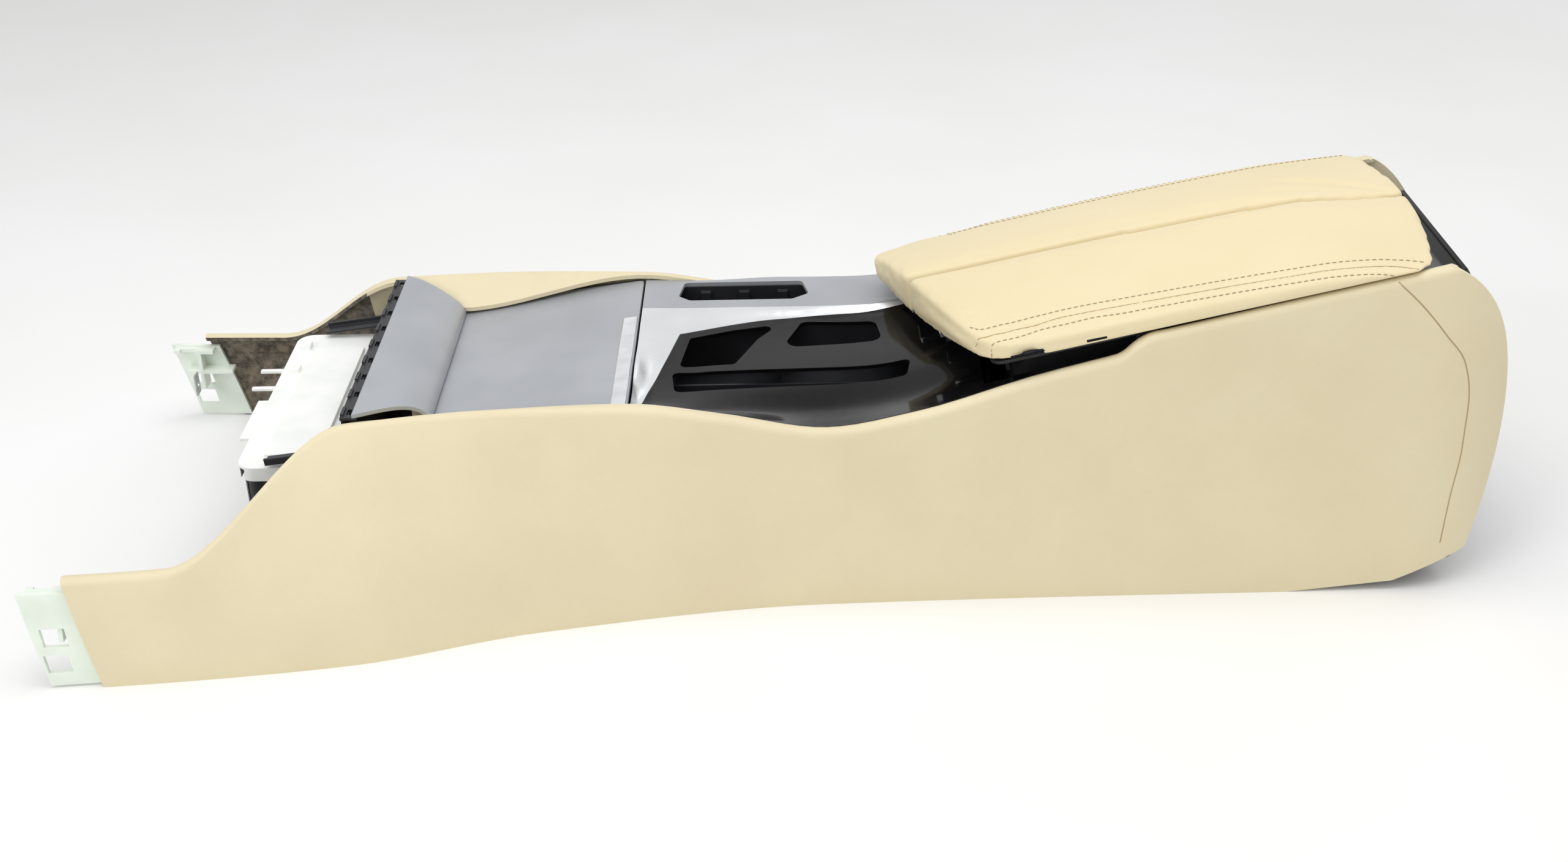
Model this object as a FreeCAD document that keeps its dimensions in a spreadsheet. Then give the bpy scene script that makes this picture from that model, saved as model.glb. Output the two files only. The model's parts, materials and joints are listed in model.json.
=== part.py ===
import FreeCAD, Part
import math
import os
import re
from types import SimpleNamespace

import Sketcher

Vector = FreeCAD.Vector
Rotation = FreeCAD.Rotation
Placement = FreeCAD.Placement

# A car's center console, in millimetres. X runs to the rear of the car, Y to its right side,
# Z up. The floor is z = 0 and the part is centred on x = 0, y = 0.
SIZES = [
    ("bracket_reach", 32, "front bracket ahead of the side panel"),
    ("nose_length", 68, "low flat nose of the side panel"),
    ("scurve_length", 120, "rise from the nose to the deck"),
    ("bar_length", 55, "deck in front of the sliding lid"),
    ("lid_length", 142, "visible length of the sliding lid"),
    ("trim_length", 350, "lid to the notch in the side panel"),
    ("arm_length", 200, "notch to the rear top corner"),
    ("tail_length", 69, "rear top corner to the rear end"),
    ("nose_half", 206, "half width at the foot of the nose"),
    ("foot_half", 200, "half width at the foot below the rise"),
    ("deck_foot_half", 184, "half width at the foot below the deck"),
    ("lid_foot_half", 148, "half width at the foot below the lid"),
    ("waist_half", 118, "half width at the waist"),
    ("rear_half", 113, "half width at the rear"),
    ("nose_crest_half", 197, "half width of the nose crest"),
    ("deck_crest_half", 131, "half width of the crest at the deck"),
    ("lid_crest_half", 123, "half width of the crest beside the lid"),
    ("nose_crest", 83, "height of the nose crest"),
    ("deck_crest", 161, "height of the crest at the deck"),
    ("lid_crest", 167, "height of the crest beside the lid"),
    ("dip_crest", 144, "height of the crest at the dip"),
    ("notch_crest", 197, "height of the crest below the notch"),
    ("notch_step", 11, "step in the crest at the notch"),
    ("rear_crest", 254, "height of the crest at the rear corner"),
    ("skin", 3.2, "wall of the side panel"),
    ("roll", 6, "radius of the rolled crest"),
    ("lip", 4, "flat lip inside the rolled crest"),
    ("wrap_depth", 58, "length of the rounded rear corner"),
    ("wrap_inset", 34, "how far the rear corner comes in"),
    ("lid_height", 143, "top of the lid at its front edge"),
    ("lid_angle", 7.3, "slope of the lid in degrees"),
    ("lid_half", 111, "half width of the lid"),
    ("lid_wall", 3, "thickness of the lid"),
    ("lid_gap", 2.6, "clearance above the lid"),
    ("opening_half", 92, "half width of the lid opening at the bar"),
    ("grip_wide", 11, "width of the grip strip"),
    ("grip_tall", 1.8, "height of the grip strip"),
    ("grip_long", 146, "length of the grip strip"),
    ("bar_rise", 21, "height of the bar over the lid"),
    ("bar_depth", 49, "length of the bar's curve"),
    ("bar_wall", 2.8, "wall of the bar"),
    ("deck_height", 160.5, "passenger deck"),
    ("gear_low", 149, "gear panel at its near edge"),
    ("gear_high", 156, "gear panel at its far edge"),
    ("scoop_sag", 5, "depth of the scoop beside the gear panel"),
    ("ridge_half", 57, "ridge between deck and surround"),
    ("trim_wall", 3, "thickness of the trim pieces"),
    ("tail_wide", 13, "width of the trim tails"),
    ("well_floor", 114, "floor of the selector well"),
    ("well_wall", 2, "wall of the selector well"),
    ("switch_long", 102, "length of the switch opening"),
    ("switch_wide", 34, "width of the switch opening"),
    ("switch_deep", 15, "depth of the switch housing"),
    ("arm_slope", 12.7, "slope of the armrest in degrees"),
    ("arm_base", 188.5, "armrest base height above the frame's front"),
    ("arm_half", 112, "half width of the armrest"),
    ("arm_gap", 1.6, "gap between the armrest halves"),
    ("arm_rear", 311, "rear edge of the armrest along its slope"),
    ("arm_bow", 9, "bow of the armrest's rear edge"),
    ("arm_front", 47, "front edge of the armrest at its centre"),
    ("arm_skew", 65, "how far the front edge is slanted"),
    ("pad_front", 30.5, "armrest thickness at the front"),
    ("pad_rear", 21, "armrest thickness at the rear"),
    ("pad_crown", 15, "fall of the armrest top to its sides"),
    ("pad_arch", 4, "rise of the armrest top along its length"),
    ("pad_round", 6, "rounding of the armrest edge"),
    ("liner_wall", 2.4, "thickness of the armrest liner"),
    ("liner_inset", 12.5, "liner inside the pad's edge"),
    ("hinge_half", 109, "hinge axis from the middle"),
    ("hinge_rise", 3, "hinge axis above the pad's base"),
    ("knuckle_radius", 1.7, "hinge knuckle"),
    ("pin_radius", 0.9, "hinge pin"),
    ("pin_play", 0.05, "play of the hinge pin"),
    ("knuckle_long", 9, "reach of the pin into the pad"),
    ("leaf_long", 14, "length of a hinge arm"),
    ("frame_wall", 2.4, "thickness of the armrest frame"),
    ("frame_half", 99, "half width of the armrest frame"),
    ("bin_long", 230, "inner length of the bin"),
    ("bin_wide", 158, "inner width of the bin"),
    ("bin_floor", 92, "floor of the bin"),
    ("bin_wall", 2.5, "wall of the bin"),
    ("bin_corner", 14, "corner radius of the bin"),
    ("mat_wall", 2, "thickness of the bin mat"),
    ("mat_rib", 1.2, "height of a mat rib"),
    ("cup_radius", 37, "cup well at the top"),
    ("cup_taper", 3, "how much narrower a cup well is below"),
    ("cup_deep", 60, "depth of a cup well"),
    ("cup_pitch", 92, "distance between the cup wells"),
    ("tray_wall", 2.5, "wall of the cup tray"),
    ("tray_height", 126, "shelf that carries the cup tray"),
    ("web_half", 97, "inner face of the carrier webs"),
    ("web_wall", 3, "thickness of the carrier webs"),
    ("foot_wall", 4, "thickness of the feet"),
    ("bolt_long", 710, "foot bolts along the car"),
    ("bolt_wide", 172, "foot bolts across the car"),
    ("bolt_radius", 3.3, "foot bolt hole"),
    ("box_deep", 62, "front air box along the car"),
    ("box_half", 107, "half width of the front air box"),
    ("box_top", 112, "top of the front air box"),
    ("box_bottom", 62, "bottom of the front air box"),
    ("cap_tall", 7, "height of the air box cap"),
    ("duct_wide", 104, "width of the air duct"),
    ("duct_tall", 24, "height of the air duct"),
    ("duct_wall", 2, "wall of the air duct"),
    ("duct_height", 49.5, "middle of the air duct"),
    ("felt_wall", 2.5, "thickness of the felt"),
    ("bracket_wall", 3, "thickness of the front bracket"),
    ("vent_wide", 156, "width of the vent housing"),
    ("vent_tall", 70, "height of the vent housing"),
    ("vent_deep", 30, "depth of the vent housing"),
    ("vent_tilt", 24, "lean of the vent face in degrees"),
    ("grille_wide", 60, "width of a vent grille"),
    ("grille_tall", 42, "height of a vent grille"),
    ("grille_deep", 15, "depth of a vent grille"),
    ("vane_wall", 1.6, "thickness of a vane"),
    ("cover_wall", 3, "thickness of the rear cover"),
    ("button_wide", 20, "width of a release button"),
    ("button_tall", 4, "height of a release button"),
    ("button_long", 18, "length of a release button"),
    ("button_play", 0.4, "play around a release button"),
]

doc = FreeCAD.newDocument("center_console")
sheet = doc.addObject("Spreadsheet::Sheet", "sizes")
for row, (name, value, note) in enumerate(SIZES, start=1):
    sheet.set(f"A{row}", note)
    sheet.set(f"B{row}", str(value))
    sheet.setAlias(f"B{row}", name)
doc.recompute()
NAMES = [name for name, value, note in SIZES]
S = SimpleNamespace(**{name: float(sheet.get(name)) for name in NAMES})
NODES = []


def formula(text):
    """Writes a formula of size names as one that reads the sheet."""
    def read_from_sheet(word):
        return "sizes." + word.group(0) if word.group(0) in NAMES else word.group(0)

    return re.sub(r"[a-z_]{3,}", read_from_sheet, text)


def keep(item, label):
    """Marks an object as a sub-part with its own name."""
    item.Label = label
    NODES.append(item)
    return item


def solid_node(label, shape):
    """Adds a sub-part whose shape was made from curves and surfaces."""
    item = doc.addObject("Part::Feature", label)
    item.Shape = shape
    return keep(item, label)


def new_body(label):
    return keep(doc.addObject("PartDesign::Body", label), label)


def new_sketch(body, name, role="XY_Plane", lift="0"):
    """A sketch on one of the body's own planes, lifted off it by a formula."""
    sketch = body.newObject("Sketcher::SketchObject", f"{body.Name}_{name}")
    plane = next(f for f in body.Origin.OriginFeatures if f.Role == role)
    sketch.AttachmentSupport = [(plane, "")]
    sketch.MapMode = "FlatFace"
    sketch.setExpression("AttachmentOffset.Base.z", formula(lift))
    return sketch


def hold(sketch, kind, target, point, text):
    """Ties one coordinate of a sketch point to a formula."""
    number = sketch.addConstraint(Sketcher.Constraint(kind, -1, 1, target, point, 1.0))
    sketch.renameConstraint(number, f"c{number}")
    sketch.setExpression(f"Constraints.c{number}", formula(text))


def outline(sketch, corners):
    """Draws a closed outline whose corners are pairs of formulas."""
    first = sketch.GeometryCount
    count = len(corners)
    turn = 2 * math.pi / count
    spots = [Vector(math.cos(k * turn), math.sin(k * turn), 0) for k in range(count)]
    for k in range(count):
        sketch.addGeometry(Part.LineSegment(spots[k], spots[(k + 1) % count]), False)
    for k in range(count):
        follow = first + (k + 1) % count
        sketch.addConstraint(Sketcher.Constraint("Coincident", first + k, 2, follow, 1))
    for k, (across, along) in enumerate(corners):
        hold(sketch, "DistanceX", first + k, 1, across)
        hold(sketch, "DistanceY", first + k, 1, along)


def rectangle(sketch, left, low, right, high):
    outline(sketch, [(left, low), (right, low), (right, high), (left, high)])


def ring(sketch, across, along, radius):
    """Draws a circle whose centre and radius are formulas."""
    number = sketch.GeometryCount
    sketch.addGeometry(Part.Circle(Vector(0, 0, 0), Vector(0, 0, 1), 1.0), False)
    hold(sketch, "DistanceX", number, 3, across)
    hold(sketch, "DistanceY", number, 3, along)
    tie = sketch.addConstraint(Sketcher.Constraint("Radius", number, 1.0))
    sketch.renameConstraint(tie, f"c{tie}")
    sketch.setExpression(f"Constraints.c{tie}", formula(radius))


def pad(body, sketch, length, reverse=False, middle=False):
    item = body.newObject("PartDesign::Pad", sketch.Name + "_pad")
    item.Profile = sketch
    item.setExpression("Length", formula(length))
    item.Reversed = reverse
    item.Midplane = middle
    sketch.Visibility = False
    return item


def pocket(body, sketch, length, reverse=False, middle=False):
    item = body.newObject("PartDesign::Pocket", sketch.Name + "_pocket")
    item.Profile = sketch
    item.setExpression("Length", formula(length))
    item.Reversed = reverse
    item.Midplane = middle
    return item


def round_edges(body, radius, wanted):
    """Rounds the edges of the body's last feature that pass a test."""
    doc.recompute()
    base = body.Tip
    names = [f"Edge{k}" for k, edge in enumerate(base.Shape.Edges, start=1) if wanted(edge)]
    item = body.newObject("PartDesign::Fillet", f"{body.Name}_round_{len(body.Group)}")
    item.Base = (base, names)
    item.setExpression("Radius", formula(radius))
    return item


def upright(edge):
    """True for a straight edge along Z."""
    if len(edge.Vertexes) < 2:
        return False
    run = edge.Vertexes[1].Point - edge.Vertexes[0].Point
    return abs(run.z) > 1e-6 and math.hypot(run.x, run.y) < 1e-6


def smooth(knots):
    """A curve through knots (place, value) that never overshoots between them."""
    xs = [float(x) for x, y in knots]
    ys = [float(y) for x, y in knots]
    gaps = [b - a for a, b in zip(xs, xs[1:])]
    rise = [(b - a) / g for a, b, g in zip(ys, ys[1:], gaps)]
    slope = [rise[0]]
    for k in range(1, len(rise)):
        if rise[k - 1] * rise[k] <= 0:
            slope.append(0.0)
        else:
            first = 2 * gaps[k] + gaps[k - 1]
            second = gaps[k] + 2 * gaps[k - 1]
            slope.append((first + second) / (first / rise[k - 1] + second / rise[k]))
    slope.append(rise[-1])

    def curve(x):
        if x <= xs[0]:
            return ys[0] + slope[0] * (x - xs[0])
        if x >= xs[-1]:
            return ys[-1] + slope[-1] * (x - xs[-1])
        k = max(i for i in range(len(gaps)) if xs[i] <= x)
        u = (x - xs[k]) / gaps[k]
        keep_left = (1 + 2 * u) * (1 - u) ** 2 * ys[k] + u * (1 - u) ** 2 * gaps[k] * slope[k]
        keep_right = u * u * (3 - 2 * u) * ys[k + 1] - u * u * (1 - u) * gaps[k] * slope[k + 1]
        return keep_left + keep_right

    return curve


def step(u):
    """A soft step from 0 to 1."""
    u = min(1.0, max(0.0, u))
    return u * u * (3 - 2 * u)


def mix(a, b, u):
    return a + (b - a) * u


def surface(grid):
    """A smooth face through a grid of points."""
    sheet_form = Part.BSplineSurface()
    sheet_form.interpolate(grid)
    return sheet_form.toShape()


def spline(points):
    """A smooth edge through points."""
    curve = Part.BSplineCurve()
    curve.interpolate(points)
    return curve.toShape()


def plan_prism(edges, low, high):
    """A prism that stands on a plan outline."""
    face = Part.Face(Part.Wire(Part.__sortEdges__(edges)))
    face.translate(Vector(0, 0, low))
    return face.extrude(Vector(0, 0, high - low))


def chain(points):
    """Straight edges through plan points (x, y)."""
    spots = [Vector(x, y, 0) for x, y in points]
    return [Part.LineSegment(a, b).toShape() for a, b in zip(spots, spots[1:])]


def rounded_prism(points, radius, low, high):
    """A prism on a polygon of plan points with rounded corners."""
    prism = plan_prism(chain(points + points[:1]), low, high)
    return prism.makeFillet(radius, [edge for edge in prism.Edges if upright(edge)])


def cube(x0, x1, y0, y1, z0, z1):
    """A block between two corners."""
    return Part.makeBox(x1 - x0, y1 - y0, z1 - z0, Vector(x0, y0, z0))


def mirrored(shape):
    return shape.mirror(Vector(0, 0, 0), Vector(0, 1, 0))


# Stations along the console, added up from the separate lengths.
run = [S.bracket_reach, S.nose_length, S.scurve_length, S.bar_length, S.lid_length, S.trim_length,
       S.arm_length, S.tail_length]
x_tip = -sum(run) / 2
x_nose = x_tip + S.bracket_reach
x_rise = x_nose + S.nose_length
x_deck = x_rise + S.scurve_length
x_lid = x_deck + S.bar_length
x_trim = x_lid + S.lid_length
x_notch = x_trim + S.trim_length
x_corner = x_notch + S.arm_length
x_rear = x_corner + S.tail_length
x_dip = x_trim + 0.397 * S.trim_length
x_mid_lid = x_lid + 0.5 * S.lid_length
x_wrap = x_rear - S.wrap_depth

foot_half = smooth([(x_nose, S.nose_half), (x_rise, S.foot_half), (x_deck, S.deck_foot_half),
                    (x_mid_lid, S.lid_foot_half), (x_dip, S.waist_half), (x_notch, S.rear_half + 1),
                    (x_wrap, S.rear_half)])
crest_half = smooth([(x_nose, S.nose_crest_half), (x_rise, S.nose_crest_half - 5),
                     (x_deck, S.deck_crest_half), (x_mid_lid, S.lid_crest_half), (x_dip, S.waist_half),
                     (x_notch, S.rear_half), (x_wrap, S.rear_half - 2)])
low_crest = smooth([(x_nose, S.nose_crest), (x_rise, S.nose_crest + 1), (x_deck, S.deck_crest),
                    (x_mid_lid, S.lid_crest), (x_trim, S.lid_crest - 1),
                    (mix(x_trim, x_dip, 0.47), mix(S.lid_crest, S.dip_crest, 0.45)), (x_dip, S.dip_crest),
                    (mix(x_dip, x_notch, 0.3), mix(S.dip_crest, S.notch_crest, 0.2)),
                    (mix(x_dip, x_notch, 0.7), mix(S.dip_crest, S.notch_crest, 0.69)),
                    (x_notch, S.notch_crest)])
lid_rise = math.tan(math.radians(S.lid_angle))
arm_rise = math.tan(math.radians(S.arm_slope))


def lid_top(x):
    """Height of the lid's top face."""
    return S.lid_height + (x - x_lid) * lid_rise


def high_crest(x):
    """Crest beside the armrest, behind the notch."""
    return mix(S.notch_crest + S.notch_step, S.rear_crest, (x - x_notch) / S.arm_length)


def crest(x):
    """Height of the side panel's crest."""
    if x < x_notch:
        return low_crest(x) + S.notch_step * step((x - x_notch + 12) / 24)
    after = low_crest(x_notch) + S.notch_step * step((x - x_notch + 12) / 24)
    return max(after, high_crest(x)) if x > x_notch + 12 else mix(after, high_crest(x), (x - x_notch) / 12)


lip_reach = smooth([(x_rise, S.roll + S.lip), (x_deck, S.roll + S.lip),
                    (x_lid, S.deck_crest_half - 4 - S.opening_half), (x_trim, S.roll + S.lip),
                    (x_dip, S.roll + S.lip)])
lip_fall = smooth([(x_rise, 1.5), (x_deck, 1.5), (x_lid, crest(x_lid) - lid_top(x_lid) - S.lid_gap - S.skin),
                   (x_trim, max(0.4, crest(x_trim) - lid_top(x_trim) - S.lid_gap - S.skin)), (x_dip, 1.5)])


def panel_section(foot, top_half, height, reach, fall):
    """Half section of the side panel from its foot over the rolled crest to the inner lip."""
    lean = math.atan2((foot - top_half) * math.pi / 2, height - S.roll)
    top = height - S.roll + S.roll * math.sin(lean)
    points = []
    for k in range(9):
        u = k / 9
        points.append((mix(top_half, foot, math.cos(u * math.pi / 2)) if foot > top_half else
                       mix(foot, top_half, u), top * u))
    middle = (top_half - S.roll * math.cos(lean), height - S.roll)
    for k in range(5):
        turn = mix(lean, math.pi / 2, k / 4)
        points.append((middle[0] + S.roll * math.cos(turn), middle[1] + S.roll * math.sin(turn)))
    points.append((top_half - reach, height - fall))
    return points


def rear_corner(turn):
    """Place and inset of the side panel on its rounded rear corner."""
    return x_wrap + 1.25 * S.wrap_depth * math.sin(turn), S.wrap_inset * (1 - math.cos(turn))


def panel_stations():
    """Stations of the side panel: place and how far the rear corner has come in."""
    count = round((x_wrap - x_tip + 4) / 10)
    spots = [(mix(x_tip - 4, x_wrap, k / count), 0.0) for k in range(count + 1)]
    for k in range(1, 9):
        spots.append(rear_corner(k / 8 * math.radians(75)))
    return spots


def section_edges(spots):
    """Wall, rolled crest and lip of one section, all sections with the same spacing of knots."""
    wall = Part.BSplineCurve()
    wall.interpolate(Points=spots[:10], Parameters=[k / 9 for k in range(10)])
    rolled = Part.BSplineCurve()
    rolled.interpolate(Points=spots[9:14], Parameters=[k / 4 for k in range(5)])
    return [wall.toShape(), rolled.toShape(), Part.LineSegment(spots[13], spots[14]).toShape()]


def panel_layer(near, far):
    """The left side panel's form between two depths below its outer face."""
    wires = []
    for place, inset in panel_stations():
        flat = min(place, x_wrap)
        profile = panel_section(foot_half(flat) - inset, crest_half(flat) - inset, crest(place),
                                lip_reach(place) if place < x_dip else S.roll + S.lip,
                                lip_fall(place) if place < x_dip else 1.5)
        outer = [Vector(place, near - half, height - near) for half, height in profile]
        inner = [Vector(place, far - half, height - far) for half, height in profile]
        # The lip ends in an upright face, so that the trim can lie close beside it.
        inner[-1].y = outer[-1].y
        close = [Part.LineSegment(outer[-1], inner[-1]).toShape()]
        close += section_edges(inner)[::-1] + [Part.LineSegment(inner[0], outer[0]).toShape()]
        wires.append(Part.Wire(section_edges(outer) + close))
    # A low degree along the row keeps its many sections from waving between stations.
    return Part.makeLoft(wires, True, False, False, 3)


# Side view outline shared by the side panels and the rear cover.
rear_points = [Vector(x_corner + 2, 0, S.rear_crest + 4), Vector(x_corner + 24, 0, S.rear_crest - 3),
               Vector(x_corner + 49, 0, S.rear_crest - 30), Vector(x_rear - 4, 0, 175),
               Vector(x_rear - 0.5, 0, 128), Vector(x_rear - 5, 0, 77), Vector(x_rear - 14, 0, 32)]
rear_edge = spline(rear_points)


def side_prism():
    """A prism across the console that bounds the side panels in side view."""
    corners = [rear_points[-1], Vector(x_corner + 3, 0, 8), Vector(x_corner - 74, 0, 0),
               Vector(x_corner - 74, 0, -20), Vector(x_nose + 18, 0, -20), Vector(x_nose + 18, 0, 0),
               Vector(x_nose, 0, S.nose_crest), Vector(x_nose - 8, 0, S.nose_crest + 40),
               Vector(x_nose - 8, 0, 400), Vector(x_corner - 30, 0, 400), rear_points[0]]
    edges = [rear_edge] + [Part.LineSegment(a, b).toShape() for a, b in zip(corners, corners[1:])]
    face = Part.Face(Part.Wire(Part.__sortEdges__(edges)))
    face.translate(Vector(0, -300, 0))
    return face.extrude(Vector(0, 600, 0))


panel = panel_layer(0, S.skin).common(side_prism())
panel = panel.cut(cube(x_tip - 50, x_rear + 50, -400, 0, -60, 0))
solid_node("side_panel_left", panel)
solid_node("side_panel_right", mirrored(panel))


# Felt that quiets the inside of the nose, on the inner face of each panel.
def side_block(points):
    """A prism across the left half on side view points (x, z)."""
    spots = [Vector(x, 0, z) for x, z in points]
    edges = [Part.LineSegment(a, b).toShape() for a, b in zip(spots, spots[1:] + spots[:1])]
    face = Part.Face(Part.Wire(edges))
    return face.extrude(Vector(0, -300, 0))


felt_end = x_deck - 34
felt_side = [(x_nose + 34, 12), (felt_end, 12), (felt_end, S.deck_crest - 46),
             (x_deck - 60, S.deck_crest - 72), (x_rise + 6, S.nose_crest - 20),
             (x_nose + 34, S.nose_crest - 20)]
felt = panel_layer(S.skin, S.skin + S.felt_wall).common(side_block(felt_side))
solid_node("felt_pad_left", felt)
solid_node("felt_pad_right", mirrored(felt))

# Stays between the carrier and the panels, shaped to the panels' inner faces.
stay_zone = panel_layer(S.skin, S.skin + 110)
stay_places = [x_lid + 2, x_mid_lid + 40, x_dip, x_notch + 10, x_corner - 30]
web_out = S.web_half + S.web_wall
stay_foot = 16
stay_wall = 3
# The foremost stay ends on the side of the air box, below its cap.
box_stay = cube(x_deck - 30, x_deck - 30 + stay_wall, -260, -S.box_half, stay_foot, S.box_top - 4.5)
stays = [box_stay.common(stay_zone)]
for place in stay_places:
    top = min(lid_top(place) - (S.lid_wall + 2.4) / math.cos(math.radians(S.lid_angle)), crest(place) - 18)
    stays.append(cube(place, place + stay_wall, -260, -web_out, stay_foot, top).common(stay_zone))
stay_set = Part.Compound([solid for stay in stays for solid in stay.Solids])
solid_node("panel_stays_left", stay_set)
solid_node("panel_stays_right", mirrored(stay_set))


# Front brackets: plates that lie on the panels' inner faces and reach ahead of the nose.
def bracket():
    side = [(x_tip, S.nose_crest - 11), (x_tip + 14, 2), (x_nose + 26, 2), (x_nose + 10, S.nose_crest - 11)]
    plate = panel_layer(S.skin, S.skin + S.bracket_wall).common(side_block(side))
    for low, high in ((12, 26), (32, 46)):
        window = [(x_tip + 14, low), (x_nose - 1, low), (x_nose - 3, high), (x_tip + 12, high)]
        plate = plate.cut(side_block(window))
    half = crest_half(x_nose) - S.skin - S.bracket_wall
    top = S.nose_crest - 15
    # The flat webs start half way into the leaning plate, so that each is well rooted in it.
    room = cube(x_tip, x_nose + 26, -half - 16, -half + 28, 30, top + 8)
    room = room.common(panel_layer(S.skin + S.bracket_wall / 2, S.skin + 80))
    shelf = cube(x_tip + 4, x_nose + 6, -half - 14, -half + 26, top, top + S.bracket_wall)
    wing = cube(x_nose - 8, x_nose - 8 + S.bracket_wall, -half - 14, -half + 26, 34.5, top + 1)
    rib = cube(x_tip + 12, x_nose - 7, -half + 10, -half + 10 + S.bracket_wall, 52, top + 1)
    stop = cube(x_tip + 13, x_nose + 20, -half - 14, -half + 8, 49, 49 + S.bracket_wall)
    joined = plate.multiFuse([web.common(room) for web in (shelf, wing, rib, stop)])
    hole = Part.makeCylinder(2.8, 20, Vector(x_nose - 14, -half + 18, 44), Vector(1, 0, 0))
    slot = cube(x_tip + 9, x_tip + 22, -half + 4, -half + 8, top - 5, top + 9)
    return joined.cut(hole).cut(slot)


bracket_shape = bracket()
solid_node("front_bracket_left", bracket_shape)
solid_node("front_bracket_right", mirrored(bracket_shape))
nut_half = crest_half(x_nose) - S.skin - S.bracket_wall
nut = cube(x_nose - 9.2, x_nose - 8, -nut_half + 10.5 + S.bracket_wall, -nut_half + 24, 36, 54)
nut = nut.cut(Part.makeCylinder(2.4, 20, Vector(x_nose - 14, -nut_half + 18, 44), Vector(1, 0, 0)))
solid_node("bracket_clip_nuts", Part.Compound([nut, mirrored(nut)]))

# Grey bar in front of the lid: a quarter oval carried across, with its ends cut to the panel lips.
bar_base = lid_top(x_lid) + 1.2


def bar_curve(inset):
    """Quarter oval of the bar, or its inner face."""
    points = []
    for k in range(11):
        turn = k / 10 * math.pi / 2
        along = (S.bar_depth - inset) * (1 - math.cos(turn))
        points.append(Vector(x_lid - inset - along, 0, bar_base + (S.bar_rise - inset) * math.sin(turn)))
    return points


outer_curve = bar_curve(0.0)
inner_curve = bar_curve(S.bar_wall)
bar_edges = [spline(outer_curve), Part.LineSegment(outer_curve[-1], inner_curve[-1]).toShape(),
             spline(inner_curve), Part.LineSegment(inner_curve[0], outer_curve[0]).toShape()]
bar_face = Part.Face(Part.Wire(Part.__sortEdges__(bar_edges)))
bar_face.translate(Vector(0, -140, 0))


def bar_half(x):
    return crest_half(x) - lip_reach(x) - 0.4


bar_spots = [mix(x_lid - S.bar_depth - 2, x_lid + 2, k / 8) for k in range(9)]
left_rim = [Vector(x, -bar_half(x), 0) for x in bar_spots]
right_rim = [Vector(x, bar_half(x), 0) for x in bar_spots]
bar_plan = plan_prism([spline(left_rim), Part.LineSegment(left_rim[-1], right_rim[-1]).toShape(),
                       spline(right_rim), Part.LineSegment(right_rim[0], left_rim[0]).toShape()], 100, 220)
solid_node("front_trim_bar", bar_face.extrude(Vector(0, 280, 0)).common(bar_plan))

# Clip rail under the bar's front edge, a strip with a row of clip towers.
rail_x = x_lid - S.bar_depth
rail_top = bar_base + S.bar_rise - S.bar_wall - 0.1
rail_half = bar_half(rail_x) - 1
clip_rail = cube(rail_x - 9, rail_x + 3, -rail_half, rail_half, rail_top - 2.4, rail_top)
clip_count = 9
for k in range(clip_count):
    middle = mix(-rail_half + 9, rail_half - 9, k / (clip_count - 1))
    tower = cube(rail_x - 9, rail_x - 6.6, middle - 6, middle + 6, rail_top - 12, rail_top + 1.5)
    slot = cube(rail_x - 5, rail_x - 2, middle - 4, middle + 4, rail_top - 9, rail_top + 4)
    clip_rail = clip_rail.fuse(tower).cut(slot)
solid_node("bar_clip_rail", clip_rail.removeSplitter())

# Sliding lid with its grip strip and the rails it runs on, built flat and then tilted.
lid_place = Placement(Vector(x_lid, 0, S.lid_height), Rotation(Vector(0, 1, 0), -S.lid_angle))
lid_front = 8
lid = new_body("sliding_lid")
lid_sketch = new_sketch(lid, "plan", lift="-lid_wall")
rectangle(lid_sketch, f"-{lid_front}", "-lid_half", "lid_length / cos(lid_angle) - 1", "lid_half")
pad(lid, lid_sketch, "lid_wall")
rib_sketch = new_sketch(lid, "ribs", lift="-lid_wall - 2")
for place in (0.25, 0.5, 0.75):
    spot = f"lid_length * {place}"
    rectangle(rib_sketch, spot + " - 1", "-lid_half + 14", spot + " + 1", "lid_half - 14")
pad(lid, rib_sketch, "2")
round_edges(lid, "4", lambda edge: upright(edge) and abs(edge.Vertexes[0].Point.y) > S.lid_half - 1
            and edge.Length > S.lid_wall - 0.1)
lid.Placement = lid_place
grip = new_body("lid_grip")
grip_sketch = new_sketch(grip, "plan")
rectangle(grip_sketch, "lid_length / cos(lid_angle) - 2 - grip_wide", "40 - grip_long",
          "lid_length / cos(lid_angle) - 2", "40")
pad(grip, grip_sketch, "grip_tall")
round_edges(grip, "grip_tall * 0.6", lambda edge: not upright(edge) and edge.Vertexes[0].Point.z > 0.1
            and edge.Vertexes[1].Point.z > 0.1)
grip.Placement = lid_place
rails = []
for side in (-1, 1):
    floor = S.lid_wall + 0.4
    strip = cube(-118, S.lid_length - 2, S.lid_half - 9, S.lid_half + 2.5, -floor - 2, -floor)
    guide = cube(-118, S.lid_length - 2, S.lid_half + 0.5, S.lid_half + 2.5, -floor - 2, 0)
    rail = strip.fuse(guide).removeSplitter()
    rails.append(rail if side > 0 else mirrored(rail))
rail_node = solid_node("lid_guide_rails", Part.Compound(rails))
rail_node.Placement = lid_place

# Trim around the gear panel: one height form, cut into the silver and the black piece.
x_arm = x_notch - 99
lid_end = lid_top(x_trim)
gear_far = smooth([(x_trim + 31, 20), (x_trim + 97, 42), (x_trim + 159, 50), (x_trim + 206, 53),
                   (x_arm + 60, 54)])
ledge = smooth([(x_trim + 5, -78), (x_trim + 207, -44), (x_arm + 100, -36)])


def soft_ramp(x, start, slope):
    """A ramp that begins softly at a place."""
    return slope * 12 * math.log(1 + math.exp((x - start) / 12))


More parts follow.
